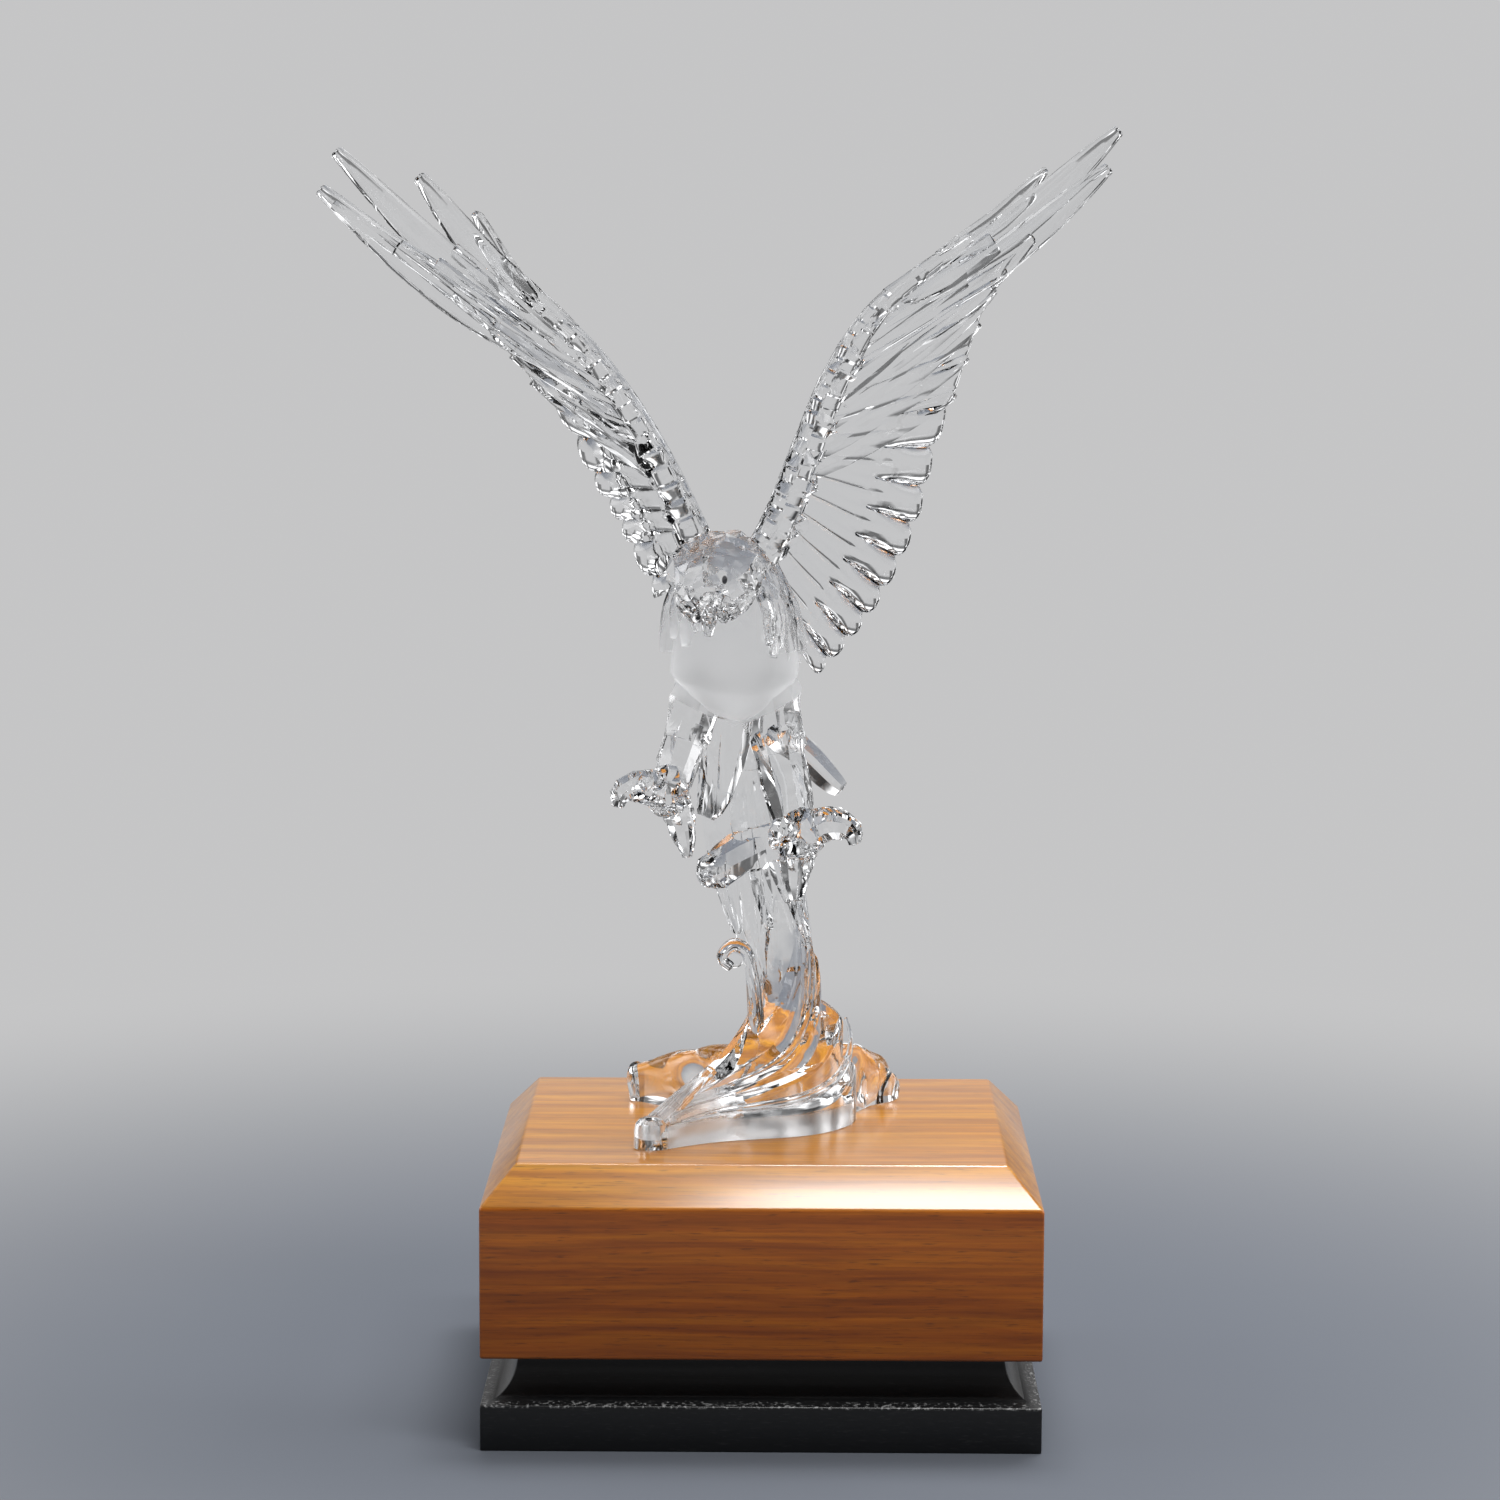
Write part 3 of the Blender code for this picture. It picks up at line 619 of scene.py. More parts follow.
ridge_line = [
    (-40.0, -41.0, 7.2), (-29.0, -24.0, 13.5), (-13.0, -6.0, 24.0),
    (-3.0, 4.0, 40.0), (0.0, 11.0, 62.0), (3.0, 15.0, 88.0)]
terraces = {
    "outer": ((-32.5, -47.6, 6.6), (-14.0, -35.5, 8.6), (14.0, -26.0, 9.8),
              (27.0, -13.0, 12.5), (31.0, 0.0, 19.0), (29.5, 10.0, 26.0)),
    "second": ((-33.0, -43.0, 7.4), (-19.0, -33.0, 12.0), (3.0, -27.0, 15.5),
               (20.0, -14.0, 22.0), (26.5, 1.0, 35.0), (22.0, 9.0, 49.0)),
    "third": ((-31.0, -37.0, 9.5), (-4.0, -24.0, 15.8), (12.0, -16.0, 24.0),
              (18.5, -5.0, 38.0), (18.0, 5.0, 55.0), (11.0, 11.0, 72.0)),
    "inner": ((-22.0, -24.0, 14.5), (0.0, -14.0, 24.0), (8.5, -10.0, 33.0),
              (12.5, -3.0, 48.0), (12.0, 5.0, 64.0), (7.0, 12.0, 84.0)),
}
ridge_reach = {"outer": 0.60, "second": 0.72, "third": 0.86, "inner": 0.97}
EDGE_SOFT = 2.4
TERRACE_RINGS = 40
RIB_RADIUS = 1.4


def rib(name, first, second, share, start=0.10, end=0.92):
    """A rounded rib that lies between two terraces."""
    line = []
    for k in range(9):
        t = start + (end - start) * k / 8.0
        line.append(curve_at(first, t) * (1.0 - share) + curve_at(second, t) * share - (0.0, 0.0, 0.5))
    bar(name, line, (0.4, RIB_RADIUS, RIB_RADIUS, 0.5), (0.4, RIB_RADIUS, RIB_RADIUS, 0.5),
        (0.0, 0.0, 1.0), 14, 40)


for order, (name, rim) in enumerate(terraces.items()):
    rings = []
    for step in range(TERRACE_RINGS):
        t = step / (TERRACE_RINGS - 1.0)
        edge = curve_at(rim, t)
        back = curve_at(ridge_line, t * ridge_reach[name])
        back[2] -= 0.5 * order
        edge = edge + (back - edge) * 0.85 * ease(0.79, 1.0, t)
        inward = unit(back - edge)
        down = np.array((0.0, 0.0, -1.0))
        top = [edge + inward * EDGE_SOFT * (1.0 - math.sin(a)) + down * EDGE_SOFT * (1.0 - math.cos(a))
               for a in (math.pi / 2.0, math.pi / 3.0, math.pi / 6.0, 0.0)]
        floor_level = BELOW + order
        across_top = [edge * (1.0 - share) + back * share + down * sag
                      for share, sag in ((0.22, 0.9), (0.42, 1.3), (0.65, 1.0), (0.85, 0.3))]
        rings.append([
            np.array((edge[0], edge[1], floor_level)), *top, *across_top, back,
            np.array((back[0], back[1], floor_level)),
            np.array(((edge[0] + back[0]) / 2.0, (edge[1] + back[1]) / 2.0, floor_level))])
    skin("wave_" + name, rings)

rib("low_rib", terraces["outer"], terraces["second"], 0.45)
rib("high_rib", terraces["third"], terraces["inner"], 0.5)
bar("toe", ((-36.0, -43.4, BELOW), (-36.0, -43.4, 1.0), (-35.8, -43.0, 10.0)),
    (5.3, 5.4, 5.2), (5.6, 5.6, 5.4), (0.0, -1.0, 0.0), 40, 14, end_round=5.1)
bar("toe_ridge", ((-35.6, -42.0, 4.6), (-31.0, -34.0, 7.6), (-25.0, -24.0, 12.2), (-17.0, -13.0, 18.0)),
    (4.4, 4.0, 3.2, 2.6), (4.4, 3.6, 3.0, 2.6), (0.0, 0.0, 1.0), 28, 30, start_round=4.0)


def waters(t, angle):
    """The uneven, hand-worked surface of the short arms."""
    return 0.8 * math.sin(9.0 * t + 2.0 * angle) + 0.5 * math.sin(17.0 * t - 3.0 * angle)


bar("right_arm", ((12.0, 5.0, 8.0), (26.0, 14.0, 8.0), (35.5, 26.0, 4.0), (42.0, 37.0, -0.5)),
    (8.0, 6.0, 5.4, 4.6), (17.0, 14.5, 11.6, 8.0), (0.0, 0.0, 1.0), 40, 40, 0.75, end_round=3.0,
    relief=waters)
bar("left_arm", ((2.0, 8.0, 8.0), (-12.0, 15.0, 7.0), (-28.0, 23.0, 5.0), (-43.0, 33.0, 1.5)),
    (9.0, 7.0, 6.4, 6.0), (18.0, 14.5, 12.0, 10.4), (0.0, 0.0, 1.0), 40, 40, 0.75, end_round=3.0,
    relief=waters)
bar("column_core", ((6.0, 4.0, BELOW), (8.0, 6.0, 20.0), (8.0, 8.0, 45.0), (4.0, 13.0, 80.0)),
    (20.0, 14.0, 8.5, 5.5), (16.0, 11.0, 7.0, 5.0), (0.0, -1.0, 0.0), 48, 50, relief=broken(7, 6, 1.8))
bar("crest", ((2.0, 3.0, 18.0), (-2.2, 3.0, 34.0), (-3.6, 3.5, 46.0), (-5.5, 4.0, 55.0),
              (-10.0, 4.0, 57.6), (-13.6, 4.0, 53.6), (-10.6, 4.0, 50.2)),
    (5.5, 3.0, 2.3, 2.1, 2.1, 2.1, 2.0), (9.0, 7.5, 6.0, 5.2, 5.0, 4.8, 4.6),
    (0.0, -1.0, 0.0), 24, 60, 0.9, end_round=1.0)
bar("curl_eye", ((-9.8, 0.4, 53.6), (-9.8, 7.6, 53.6)),
    (3.4, 3.4), (3.4, 3.4), (0.0, 0.0, 1.0), 32, 4, start_round=1.6, end_round=1.6)

# Tail: five long feathers under four short ones, of the same clear acrylic. They hang from the body and
# run down into the wave, cast in one with both.
TAIL_ROOT = np.array((-9.0, 9.0, 128.0))
tail_ends = ((-8.5, 5.5, 61.0), (-1.0, 7.5, 39.0), (5.0, 6.0, 36.5), (11.5, 7.5, 40.0), (14.5, 7.0, 57.0))
for number, end in enumerate(tail_ends):
    share = number / 4.0
    root = TAIL_ROOT + np.array((-6.5 + 13.0 * share, 1.5 * (number % 2), 0.0))
    blade("tail_feather", root, end, 5.2, 5.0, (0.0, -1.0, 0.0), (-3.0 + 2.0 * share, 3.0, 0.0), SPEAR, 36,
          RIMMED)
for end in ((-4.5, 2.6, 82.0), (2.0, 2.2, 63.0), (8.5, 2.6, 72.0), (14.5, 3.6, 60.0)):
    blade("tail_covert", (end[0] * 0.4 - 6.0, 3.5, 116.0), end, 4.0, 5.0, (0.0, -1.0, 0.0),
          (-1.0, -1.0, 0.0), SPEAR, 30)
bar("tail_core", ((-9.0, 8.0, 134.0), (-8.0, 9.0, 105.0), (-1.0, 9.0, 75.0), (6.0, 9.0, 48.0)),
    (11.0, 10.0, 9.5, 9.0), (6.0, 3.6, 3.2, 3.2), (0.0, -1.0, 0.0), 20, 24)
bar("tail_stub", ((6.0, 8.0, 93.0), (-6.0, 4.0, 89.0), (-16.0, 0.0, 83.5), (-21.5, -2.0, 80.5)),
    (5.6, 7.0, 6.2, 3.0), (5.6, 6.4, 5.8, 3.0), (0.0, -1.0, 0.0), 9, 8, end_round=2.4,
    relief=gem(1.0))

# Torso, head and neck: a smooth satin barrel with a pointed lower edge, a cut head that leans forward
# with a hooked beak, and pointed feathers that hang over both shoulders. All are cast with the rest.
TORSO_HALF_WIDTH = 21.0
TORSO_HALF_DEPTH = 17.0
HEAD_HALF_WIDTH = 15.8
HEAD_HALF_HEIGHT = 11.0


def bib(point):
    """Draws the torso's lower edge up at both sides, so that it points down in the middle."""
    low = min(max((152.0 - point[2]) / 22.0, 0.0), 1.0)
    aside = min(abs(point[0] + 9.0) / 21.0, 1.0)
    return point + np.array((0.0, 0.0, 11.0 * low * aside ** 1.4 + 4.0 * low))


bar("torso", ((-10.0, -6.0, 128.5), (-10.0, -3.5, 138.0), (-9.8, -2.0, 150.0),
              (-9.5, -1.0, 162.0), (-9.5, 0.0, 174.0), (-11.5, 1.0, 186.0), (-13.0, 0.0, 194.0)),
    [TORSO_HALF_WIDTH * share for share in (0.62, 0.94, 1.0, 0.95, 0.82, 0.52, 0.25)],
    [TORSO_HALF_DEPTH * share for share in (0.55, 0.84, 1.0, 0.98, 0.86, 0.58, 0.30)],
    (0.0, -1.0, 0.0), 64, 44, 0.8, start_round=3.0, shape=bib)
bar("head", ((-11.5, 8.0, 177.0), (-14.5, -6.0, 183.0), (-16.0, -19.0, 183.0),
             (-17.0, -30.0, 178.5), (-17.4, -36.0, 174.0)),
    [HEAD_HALF_WIDTH * share for share in (1.0, 1.0, 0.98, 0.74, 0.40)],
    [HEAD_HALF_HEIGHT * share for share in (1.0, 1.04, 1.0, 0.82, 0.45)],
    (0.0, 0.0, 1.0), 16, 13, relief=gem(1.6))
bar("nape", ((-12.0, 3.0, 168.0), (-12.5, 4.5, 177.0), (-13.0, 3.0, 187.0), (-13.5, 1.0, 193.0)),
    (11.0, 14.0, 13.0, 7.0), (9.0, 10.0, 9.0, 6.0), (0.0, -1.0, 0.0), 14, 9, relief=gem(1.7))
bar("beak", ((-16.2, -29.0, 178.5), (-16.9, -37.0, 176.5), (-17.4, -41.5, 171.5), (-17.6, -41.0, 165.0)),
    (4.8, 3.8, 2.8, 1.4), (5.0, 4.0, 3.0, 1.4), (1.0, 0.0, 0.0), 8, 8, end_round=0.8,
    relief=gem(0.4))
for side in (-1.0, 1.0):
    bar("cheek", ((-15.0 + side * 10.0, -22.0, 180.0), (-16.6 + side * 7.5, -31.0, 174.5),
                  (-17.2 + side * 3.4, -37.5, 170.5)),
        (4.0, 4.2, 2.4), (4.0, 4.0, 2.4), (0.0, 0.0, 1.0), 8, 6, end_round=1.6, relief=gem(0.5))
    bar("brow", ((-14.5 + side * 9.0, -16.0, 189.0), (-15.6 + side * 10.0, -24.0, 187.0),
                 (-16.6 + side * 5.0, -34.0, 181.0)),
        (2.6, 3.2, 1.6), (2.2, 2.6, 1.4), (0.0, 0.0, 1.0), 7, 6, relief=gem(0.4))

for side, count in ((-1.0, 4), (1.0, 7)):
    for number in range(count):
        share = number / (count - 1)
        root = (-11.5 + side * (7.0 + 6.0 * share), -15.0 + 17.0 * share, 184.0)
        fall = (164.0 if side < 0.0 else 160.0) - 5.0 * share - 3.5 * (number % 2)
        end = (-10.2 + side * (11.5 + 9.8 * share), -22.0 + 21.5 * share, fall)
        blade("neck_feather", root, end, 2.3, 6.0,
              (side * (0.35 + 0.6 * share), -1.0 + 0.6 * share, 0.25), (side * 2.6, -2.6, 0.0), SPEAR)

# Legs, feet and claws: two cut thighs that end in palms with four hooked toes each, and a plume at the
# side and behind. They are of the same clear acrylic, cast in one with the torso.
legs = {
    "left": {
        "thigh": ((-20.0, -2.0, 147.0), (-23.5, -7.0, 136.0), (-27.0, -13.0, 124.0),
                  (-30.5, -22.0, 113.0)),
        "thigh_width": 9.2, "palm": (-31.5, -25.0, 112.5), "palm_size": 7.4,
        "toes": (((-33.0, -27.0, 113.0), (-40.0, -34.0, 116.0), (-45.5, -37.0, 114.0),
                  (-46.5, -38.0, 109.5)),
                 ((-30.0, -27.0, 111.0), (-26.5, -30.0, 103.0), (-24.4, -32.0, 92.5)),
                 ((-33.0, -28.0, 115.0), (-37.0, -36.0, 118.5), (-38.0, -42.0, 116.0)),
                 ((-30.0, -24.0, 112.0), (-27.0, -12.0, 110.0), (-26.0, -5.0, 103.0))),
    },
    "right": {
        "thigh": ((0.0, -2.0, 146.0), (2.5, -6.0, 134.0), (6.0, -12.0, 118.0),
                  (9.5, -20.0, 103.0)),
        "thigh_width": 11.0, "palm": (11.5, -24.0, 98.5), "palm_size": 8.2,
        "toes": (((13.0, -26.0, 99.0), (20.5, -31.0, 103.5), (27.5, -34.0, 102.5),
                  (29.6, -34.5, 97.5)),
                 ((10.5, -27.0, 97.0), (10.4, -32.0, 89.0), (10.5, -34.0, 78.8)),
                 ((9.0, -27.0, 100.0), (5.0, -35.0, 102.0), (3.0, -40.0, 97.0)),
                 ((11.0, -20.0, 98.0), (12.0, -8.0, 96.0), (13.0, -1.0, 89.0))),
    },
}

for side, leg in legs.items():
    width = leg["thigh_width"]
    for row, (low_end, high_end) in enumerate(((0.0, 0.54), (0.46, 1.0))):
        shares = [low_end + (high_end - low_end) * k / 3.0 for k in range(4)]
        halves = [width * (1.04 - 0.38 * share) for share in shares]
        bar(side + "_thigh", [curve_at(leg["thigh"], share) for share in shares], halves,
            [0.92 * half for half in halves], (0.0, -1.0, 0.0), 9 - row, 5, relief=gem(0.9))
    palm = np.array(leg["palm"])
    size = leg["palm_size"]
    bar(side + "_palm", (palm + (0.0, 5.0, 5.5), palm, palm + (0.0, -4.0, -5.5)),
        (size * 0.7, size * 1.05, size * 0.65), (size * 0.7, size * 1.05, size * 0.65),
        (0.0, -1.0, 0.3), 10, 7, relief=gem(0.7))
    for number, toe in enumerate(leg["toes"]):
        thick = size * (0.72 if number < 2 else 0.52)
        facing = (0.0, -1.0, 0.1) if number < 2 else (1.0, 0.0, 0.1)
        bar(side + "_toe", toe, (thick, thick * 0.98, thick * 0.74, thick * 0.30),
            (thick * 0.9, thick * 0.88, thick * 0.68, thick * 0.30), facing, 9, 9,
            relief=gem(0.4), end_round=0.9)
bar("thigh_plume", ((5.0, 4.0, 128.0), (14.0, 9.0, 120.0), (22.0, 13.0, 111.5), (25.5, 14.0, 108.5)),
    (6.0, 5.6, 4.6, 3.2), (5.0, 4.4, 3.8, 2.8), (0.0, -1.0, 0.0), 6, 6, end_round=1.4)
bar("hind_plume", ((-12.0, 2.0, 134.0), (-14.0, 2.0, 120.0), (-17.0, 1.0, 107.0), (-19.5, 0.0, 101.0)),
    (9.0, 8.0, 6.0, 3.2), (8.0, 6.5, 4.5, 2.0), (0.0, -1.0, 0.0), 7, 6)

# Wings: each is an arm with columns of cut blocks, a thin clear plate behind it with a scalloped edge,
# and a fan of feathers at its end. Both are cast in one with the torso.
FEATHER_THICKNESS = 4.2
ARM_HALF_WIDTH = 6.6
ARM_HALF_DEPTH = 6.0
PRIMARIES = 5
PRIMARY_HALF_WIDTH = 5.8
HAND_TURN = np.array((0.0, -2.0, 0.0))
PLATE_HALF = 1.3
PLATE_START = 0.30
SCALLOP_DEPTH = 0.085
SCALLOP_SWELL = 1.9
SHINGLE = 0.55
FACET_HEIGHT = 2.6


def feather_root(arm, place):
    return curve_at(arm, 1.0 - 0.96 * place ** 0.9)


def wing_front(arm, fan):
    """The direction square to a wing's face, on its viewer's side."""
    span = np.subtract(arm[-1], arm[0])
    chord = curve_at(fan, 0.7) - feather_root(arm, 0.7)
    square = unit(np.cross(span, chord))
    return -square if square[1] > 0.0 else square


def crystal_facets(columns, rows):
    """Staggered columns of cut blocks on the arm's face, each with a tilt of its own; plain behind."""
    def relief(t, angle):
        turn = (angle / math.pi) % 2.0
        if turn > 1.0:
            return -0.3 * FACET_HEIGHT * min(1.0, 4.0 * (1.0 - t))
        column = int(turn * columns)
        over = 2.0 * (turn * columns - column) - 1.0
        row = t * rows + 0.5 * (column % 2)
        up = 2.0 * (row - math.floor(row)) - 1.0
        key = math.floor(row)
        tilt = 1.6 * (chance(column + 0.7, key) - 0.5) * over + 2.2 * (chance(column, key + 0.9) - 0.5) * up
        seam = max(abs(over) ** 8, abs(up) ** 8)
        block = FACET_HEIGHT * (tilt * (1.0 - seam) - 0.35 * seam - 0.2)
        return block * min(1.0, 4.0 * (1.0 - t))
    return relief


def feather_plate(name, arm, fan, front, scallop_start, spacing):
    """One clear plate behind the arm, whose edge swells into overlapping rounded feather ends."""
    outward = (0.0, 0.30, 0.50, 0.62, 0.72, 0.80, 0.86, 0.91, 0.95, 0.98, 0.995, 1.0)
    stations = int(round((0.995 - PLATE_START) / spacing * 12))
    rings = []
    for step in range(stations + 1):
        place = PLATE_START + (0.995 - PLATE_START) * step / stations
        cell = (place - scallop_start) / spacing
        across = 2.0 * (cell - math.floor(cell)) - 1.0
        shown = ease(scallop_start - 0.08, scallop_start + 0.05, place)
        near = feather_root(arm, place)
        tip = curve_at(fan, place)
        notch = SCALLOP_DEPTH * shown * (1.0 - math.sqrt(max(1.0 - abs(across) ** 2.4, 0.0)))
        far = near + (tip - near) * (0.985 - notch)
        upper, lower = [], []
        for share in outward:
            swell = ease(0.52, 0.84, share) * shown
            half = PLATE_HALF + swell * (SCALLOP_SWELL * (1.0 - abs(across) ** 2.2) - 0.5 * abs(across) ** 8)
            half -= 0.42 * ease(0.05, 0.2, share) * math.exp(-(across / 0.16) ** 2) * (1.0 - swell)
            half *= math.sqrt(max(1.0 - max((share - 0.90) / 0.1005, 0.0) ** 3, 0.02))
            step_out = front * SHINGLE * across * swell * 1.6
            spot = near + (far - near) * share + step_out
            upper.append(spot + front * half)
            lower.append(spot - front * half)
        rings.append(upper + lower[::-1])
    skin(name, rings)


def wing(name, arm, fan, bow_out, columns, rows, scallop_start, spacing):
    front = wing_front(arm, fan)
    bar(name + "_arm", arm, [ARM_HALF_WIDTH * share for share in (1.1, 1.0, 0.95, 0.9, 0.65, 0.25)],
        [ARM_HALF_DEPTH * share for share in (1.2, 1.0, 0.9, 0.8, 0.65, 0.3)],
        front, 56, 190, 0.8, relief=crystal_facets(columns, rows))
    feather_plate(name + "_plate", arm, fan, front, scallop_start, spacing)

    last = len(fan) - 1
    hand_front = unit(front + HAND_TURN)
    for number in range(PRIMARIES):
        place = number / last
        tip = curve_at(fan, place)
        root = feather_root(arm, place + 0.06)
        shingle = hand_front * (0.6 if number % 2 else -0.6)
        sideways = np.cross(tip - root, hand_front) * bow_out
        half_width = PRIMARY_HALF_WIDTH * (0.62 if number == 0 else 1.0)
        blade(name + "_primary", root + shingle, tip, half_width, FEATHER_THICKNESS,
              hand_front, sideways, SPEAR, 40, RIMMED)

    # Long feathers that run up over the plate to its edge, and a shorter row over their roots
    for number in range(6):
        place = 0.31 + 0.045 * number
        tip = near_edge(arm, fan, place, 0.97)
        root = feather_root(arm, place + 0.15)
        lift = front * (1.2 + 0.5 * (number % 2))
        blade(name + "_long", root + lift, tip + lift, 4.6, 4.6, front, front * 0.5, SPEAR, 32)
    for number in range(5):
        place = 0.20 + 0.08 * number
        root = feather_root(arm, place + 0.10)
        tip = near_edge(arm, fan, place, 0.50 + 0.05 * (number % 2))
        lift = front * 2.6
        blade(name + "_covert", root + lift, tip + lift * 0.7, 4.6, 4.4, front, front * 0.7, BLUNT, 24)


def near_edge(arm, fan, place, reach):
    """A place part of the way out from the arm to the fan's edge."""
    root = feather_root(arm, place)
    return root + (curve_at(fan, place) - root) * reach


wing("right_wing",
     ((-6.0, 4.0, 176.0), (5.5, 2.0, 200.0), (14.5, -2.0, 224.0), (24.0, -3.0, 247.0),
      (38.0, -1.0, 268.5), (66.0, 10.0, 290.5)),
     ((91.5, 30.0, 312.3), (115.2, 26.0, 325.2), (111.2, 12.0, 313.0), (86.5, 10.0, 290.5),
      (74.2, 12.0, 274.0), (65.8, 16.0, 249.5), (56.8, 20.0, 222.0), (50.2, 23.0, 195.5),
      (40.2, 25.0, 173.3), (28.3, 25.0, 156.4), (17.0, 23.0, 144.6)),
     0.05, 3, 27, 0.55, 0.05)
wing("left_wing",
     ((-17.0, 5.0, 176.0), (-26.5, 2.0, 200.0), (-37.0, -2.0, 222.0), (-48.5, -4.0, 241.0),
      (-61.5, -3.0, 257.5), (-80.0, 4.0, 271.5)),
     ((-96.0, 32.0, 297.5), (-114.4, 28.0, 309.5), (-140.8, 18.0, 317.6), (-144.6, 4.0, 305.3),
      (-99.8, 8.0, 274.0), (-82.0, 18.0, 251.0), (-67.8, 29.0, 232.4), (-58.2, 37.0, 212.0),
      (-50.5, 40.0, 199.0), (-44.6, 41.0, 187.0), (-36.0, 40.0, 170.0)),
     -0.05, 2, 20, 0.50, 0.065)

# The casting as one: all the forms above are one body of clear acrylic, cut level under the wave and
# polished, apart from the satin torso and the low wall of the wave.
MERGE_WITHIN = 0.000002
ACRYLIC_INDEX = 1.49
TORSO_SATIN = 0.52
TORSO_MIDDLE = (-0.0095, -0.004, EAGLE_FLOOR + 0.153)
TORSO_RADII = (0.027, 0.027, 0.028)
WALL_SATIN = 0.36
EYE_MIDDLE = (-0.0127, -0.0350, EAGLE_FLOOR + 0.1825)
EYE_RADII = (0.0009, 0.0060, 0.0014)
CUTS_IN_A_METRE = 230.0
CLEAR = (0.985, 0.99, 0.995, 1.0)
# Painted shade for the dark spot at the eye
EYE_PAINTED_SHADE = (0.004, 0.004, 0.005, 1.0)
LET_THROUGH = (0.72, 0.72, 0.72, 1.0)


def weld(pair):
    """Joins the second solid into the first."""
    base, other = pair
    join_step = base.modifiers.new("weld", "BOOLEAN")
    join_step.operation = "UNION"
    join_step.solver = "MANIFOLD"
    join_step.object = other
    shape = bpy.data.meshes.new_from_object(base.evaluated_get(bpy.context.evaluated_depsgraph_get()))
    base.modifiers.clear()
    base.data = shape
    bpy.data.objects.remove(other, do_unlink=True)
    return base


while len(casting) > 1:
    pairs = [casting[k:k + 2] for k in range(0, len(casting), 2)]
    casting = [weld(pair) if len(pair) == 2 else pair[0] for pair in pairs]
clear_eagle = casting[0]
clear_eagle.name = "clear_acrylic_eagle"

bpy.ops.object.select_all(action="DESELECT")
bpy.context.view_layer.objects.active = clear_eagle
clear_eagle.select_set(True)
bpy.ops.object.mode_set(mode="EDIT")
bpy.ops.mesh.select_all(action="SELECT")
bpy.ops.mesh.bisect(
    plane_co=(0.0, 0.0, EAGLE_FLOOR), plane_no=(0.0, 0.0, 1.0), use_fill=True, clear_inner=True)
bpy.ops.mesh.select_all(action="SELECT")
bpy.ops.mesh.remove_doubles(threshold=MERGE_WITHIN)
bpy.ops.object.mode_set(mode="OBJECT")
clear_eagle.data.validate()

# Merging leaves a few slivers that hang on nothing; they come out, and the casting stays closed
mesh = bmesh.new()
mesh.from_mesh(clear_eagle.data)
slivers = [face for face in mesh.faces if all(len(edge.link_faces) == 1 for edge in face.edges)]
bmesh.ops.delete(mesh, geom=slivers, context="FACES")
mesh.to_mesh(clear_eagle.data)
mesh.free()


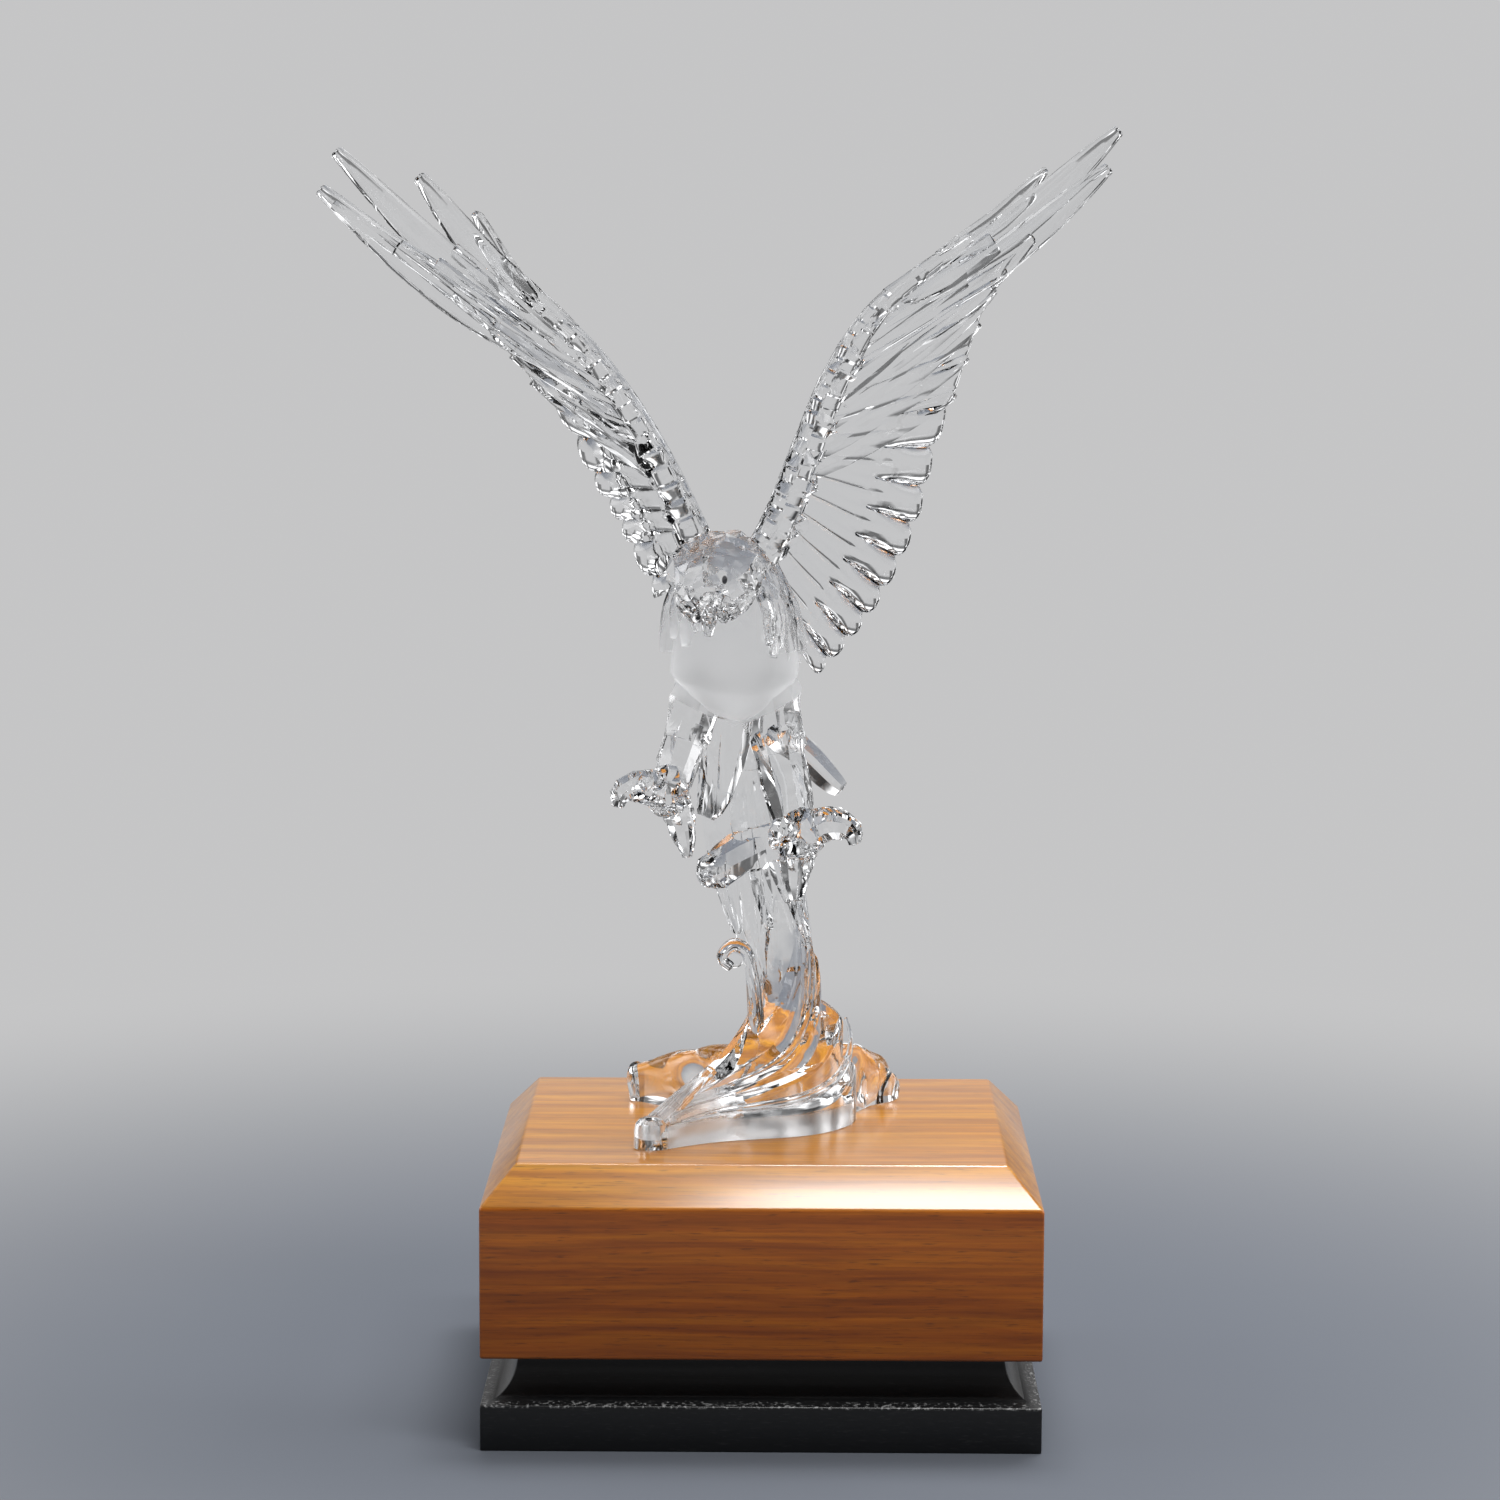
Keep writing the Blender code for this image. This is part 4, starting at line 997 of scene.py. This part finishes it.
def clear_acrylic():
    """Clear acrylic: it bends what is behind it, and lets lamps through to what it stands on."""
    material = bpy.data.materials.new("clear_acrylic")
    material.use_nodes = True
    tree = material.node_tree
    add, join = nodes_of(tree)
    shader = tree.nodes["Principled BSDF"]
    shader.inputs["IOR"].default_value = ACRYLIC_INDEX
    shader.inputs["Transmission Weight"].default_value = 1.0
    place = add("ShaderNodeTexCoord").outputs["Object"]
    split = feed(add("ShaderNodeSeparateXYZ"), place)
    across, deep, height = (split.outputs[axis] for axis in "XYZ")

    def vectors(operation, *given):
        return feed(add("ShaderNodeVectorMath", operation=operation), *given)

    def beyond(middle, radii):
        """How far a place lies from a point, as a share of three radii."""
        offset = vectors("SUBTRACT", place, middle).outputs[0]
        shares = vectors("MULTIPLY", offset, [1.0 / radius for radius in radii]).outputs[0]
        return vectors("LENGTH", shares).outputs["Value"]

    def product(mask, *others):
        for other in others:
            mask = maths(tree, "MULTIPLY", mask, other)
        return mask

    # The faint ripple of a casting, and small cut faces over the head, each with a tilt of its own
    ripple = bumped(tree, noise_at(tree, place, 160.0, 2.0).outputs["Fac"], 0.12, 0.0006)
    cells = feed(add("ShaderNodeTexVoronoi"), place)
    cells.inputs["Scale"].default_value = CUTS_IN_A_METRE
    tilt = vectors("SUBTRACT", cells.outputs["Color"], (0.5, 0.5, 0.5)).outputs[0]
    in_cell = vectors("SUBTRACT", place, cells.outputs["Position"]).outputs[0]
    slope = vectors("DOT_PRODUCT", tilt, in_cell).outputs["Value"]
    at_head = toned(tree, maths(tree, "SUBTRACT", height, EAGLE_FLOOR), [
        (level, (share, share, share)) for level, share in (
            (0.1665, 0.0), (0.1690, 0.75), (0.1945, 0.75), (0.1960, 0.0))])
    cut_height = product(slope, at_head, ranged(tree, deep, 0.008, 0.004))
    cut_faces = bumped(tree, cut_height, 0.8, 1.0)
    join(ripple, cut_faces.node.inputs["Normal"])
    join(cut_faces, shader.inputs["Normal"])

    # The torso is satin down to its pointed edge, but the feathers over the right shoulder stay polished
    satin = ranged(tree, beyond(TORSO_MIDDLE, TORSO_RADII), 1.10, 0.85, 0.0, TORSO_SATIN)
    aside = maths(tree, "ABSOLUTE", maths(tree, "ADD", across, -TORSO_MIDDLE[0]))
    above_point = ranged(tree, maths(tree, "MULTIPLY_ADD", aside, -0.5, height),
                         EAGLE_FLOOR + 0.1310, EAGLE_FLOOR + 0.1325)
    below_head = ranged(tree, height, EAGLE_FLOOR + 0.1780, EAGLE_FLOOR + 0.1740)
    shoulder = product(ranged(tree, across, -0.0040, -0.0015),
                       ranged(tree, height, EAGLE_FLOOR + 0.1550, EAGLE_FLOOR + 0.1590))
    torso = product(satin, above_point, below_head, maths(tree, "SUBTRACT", 1.0, shoulder))

    # So is the wave's outer wall near the block, in front and beside the toe
    wall = product(ranged(tree, height, EAGLE_FLOOR + 0.0085, EAGLE_FLOOR + 0.0068, 0.0, WALL_SATIN),
                   ranged(tree, deep, -0.004, -0.010), ranged(tree, across, -0.0315, -0.0300))
    join(maths(tree, "MAXIMUM", torso, wall), shader.inputs["Roughness"])

    # A small dark spot at the eye: painted shade, where the clear acrylic shows dark
    eye_shade = ranged(tree, beyond(EYE_MIDDLE, EYE_RADII), 1.15, 0.85)
    join(blended(tree, CLEAR, EYE_PAINTED_SHADE, eye_shade), shader.inputs["Base Color"])

    rays = add("ShaderNodeLightPath")
    through = feed(add("ShaderNodeBsdfTransparent"), LET_THROUGH)
    mixed = feed(add("ShaderNodeMixShader"), rays.outputs["Is Shadow Ray"], shader.outputs[0],
                 through.outputs[0])
    join(mixed.outputs[0], tree.nodes["Material Output"].inputs["Surface"])
    return material


clear_eagle.data.materials.clear()
clear_eagle.data.materials.append(clear_acrylic())
finished(clear_eagle, "eagle", 23.0)
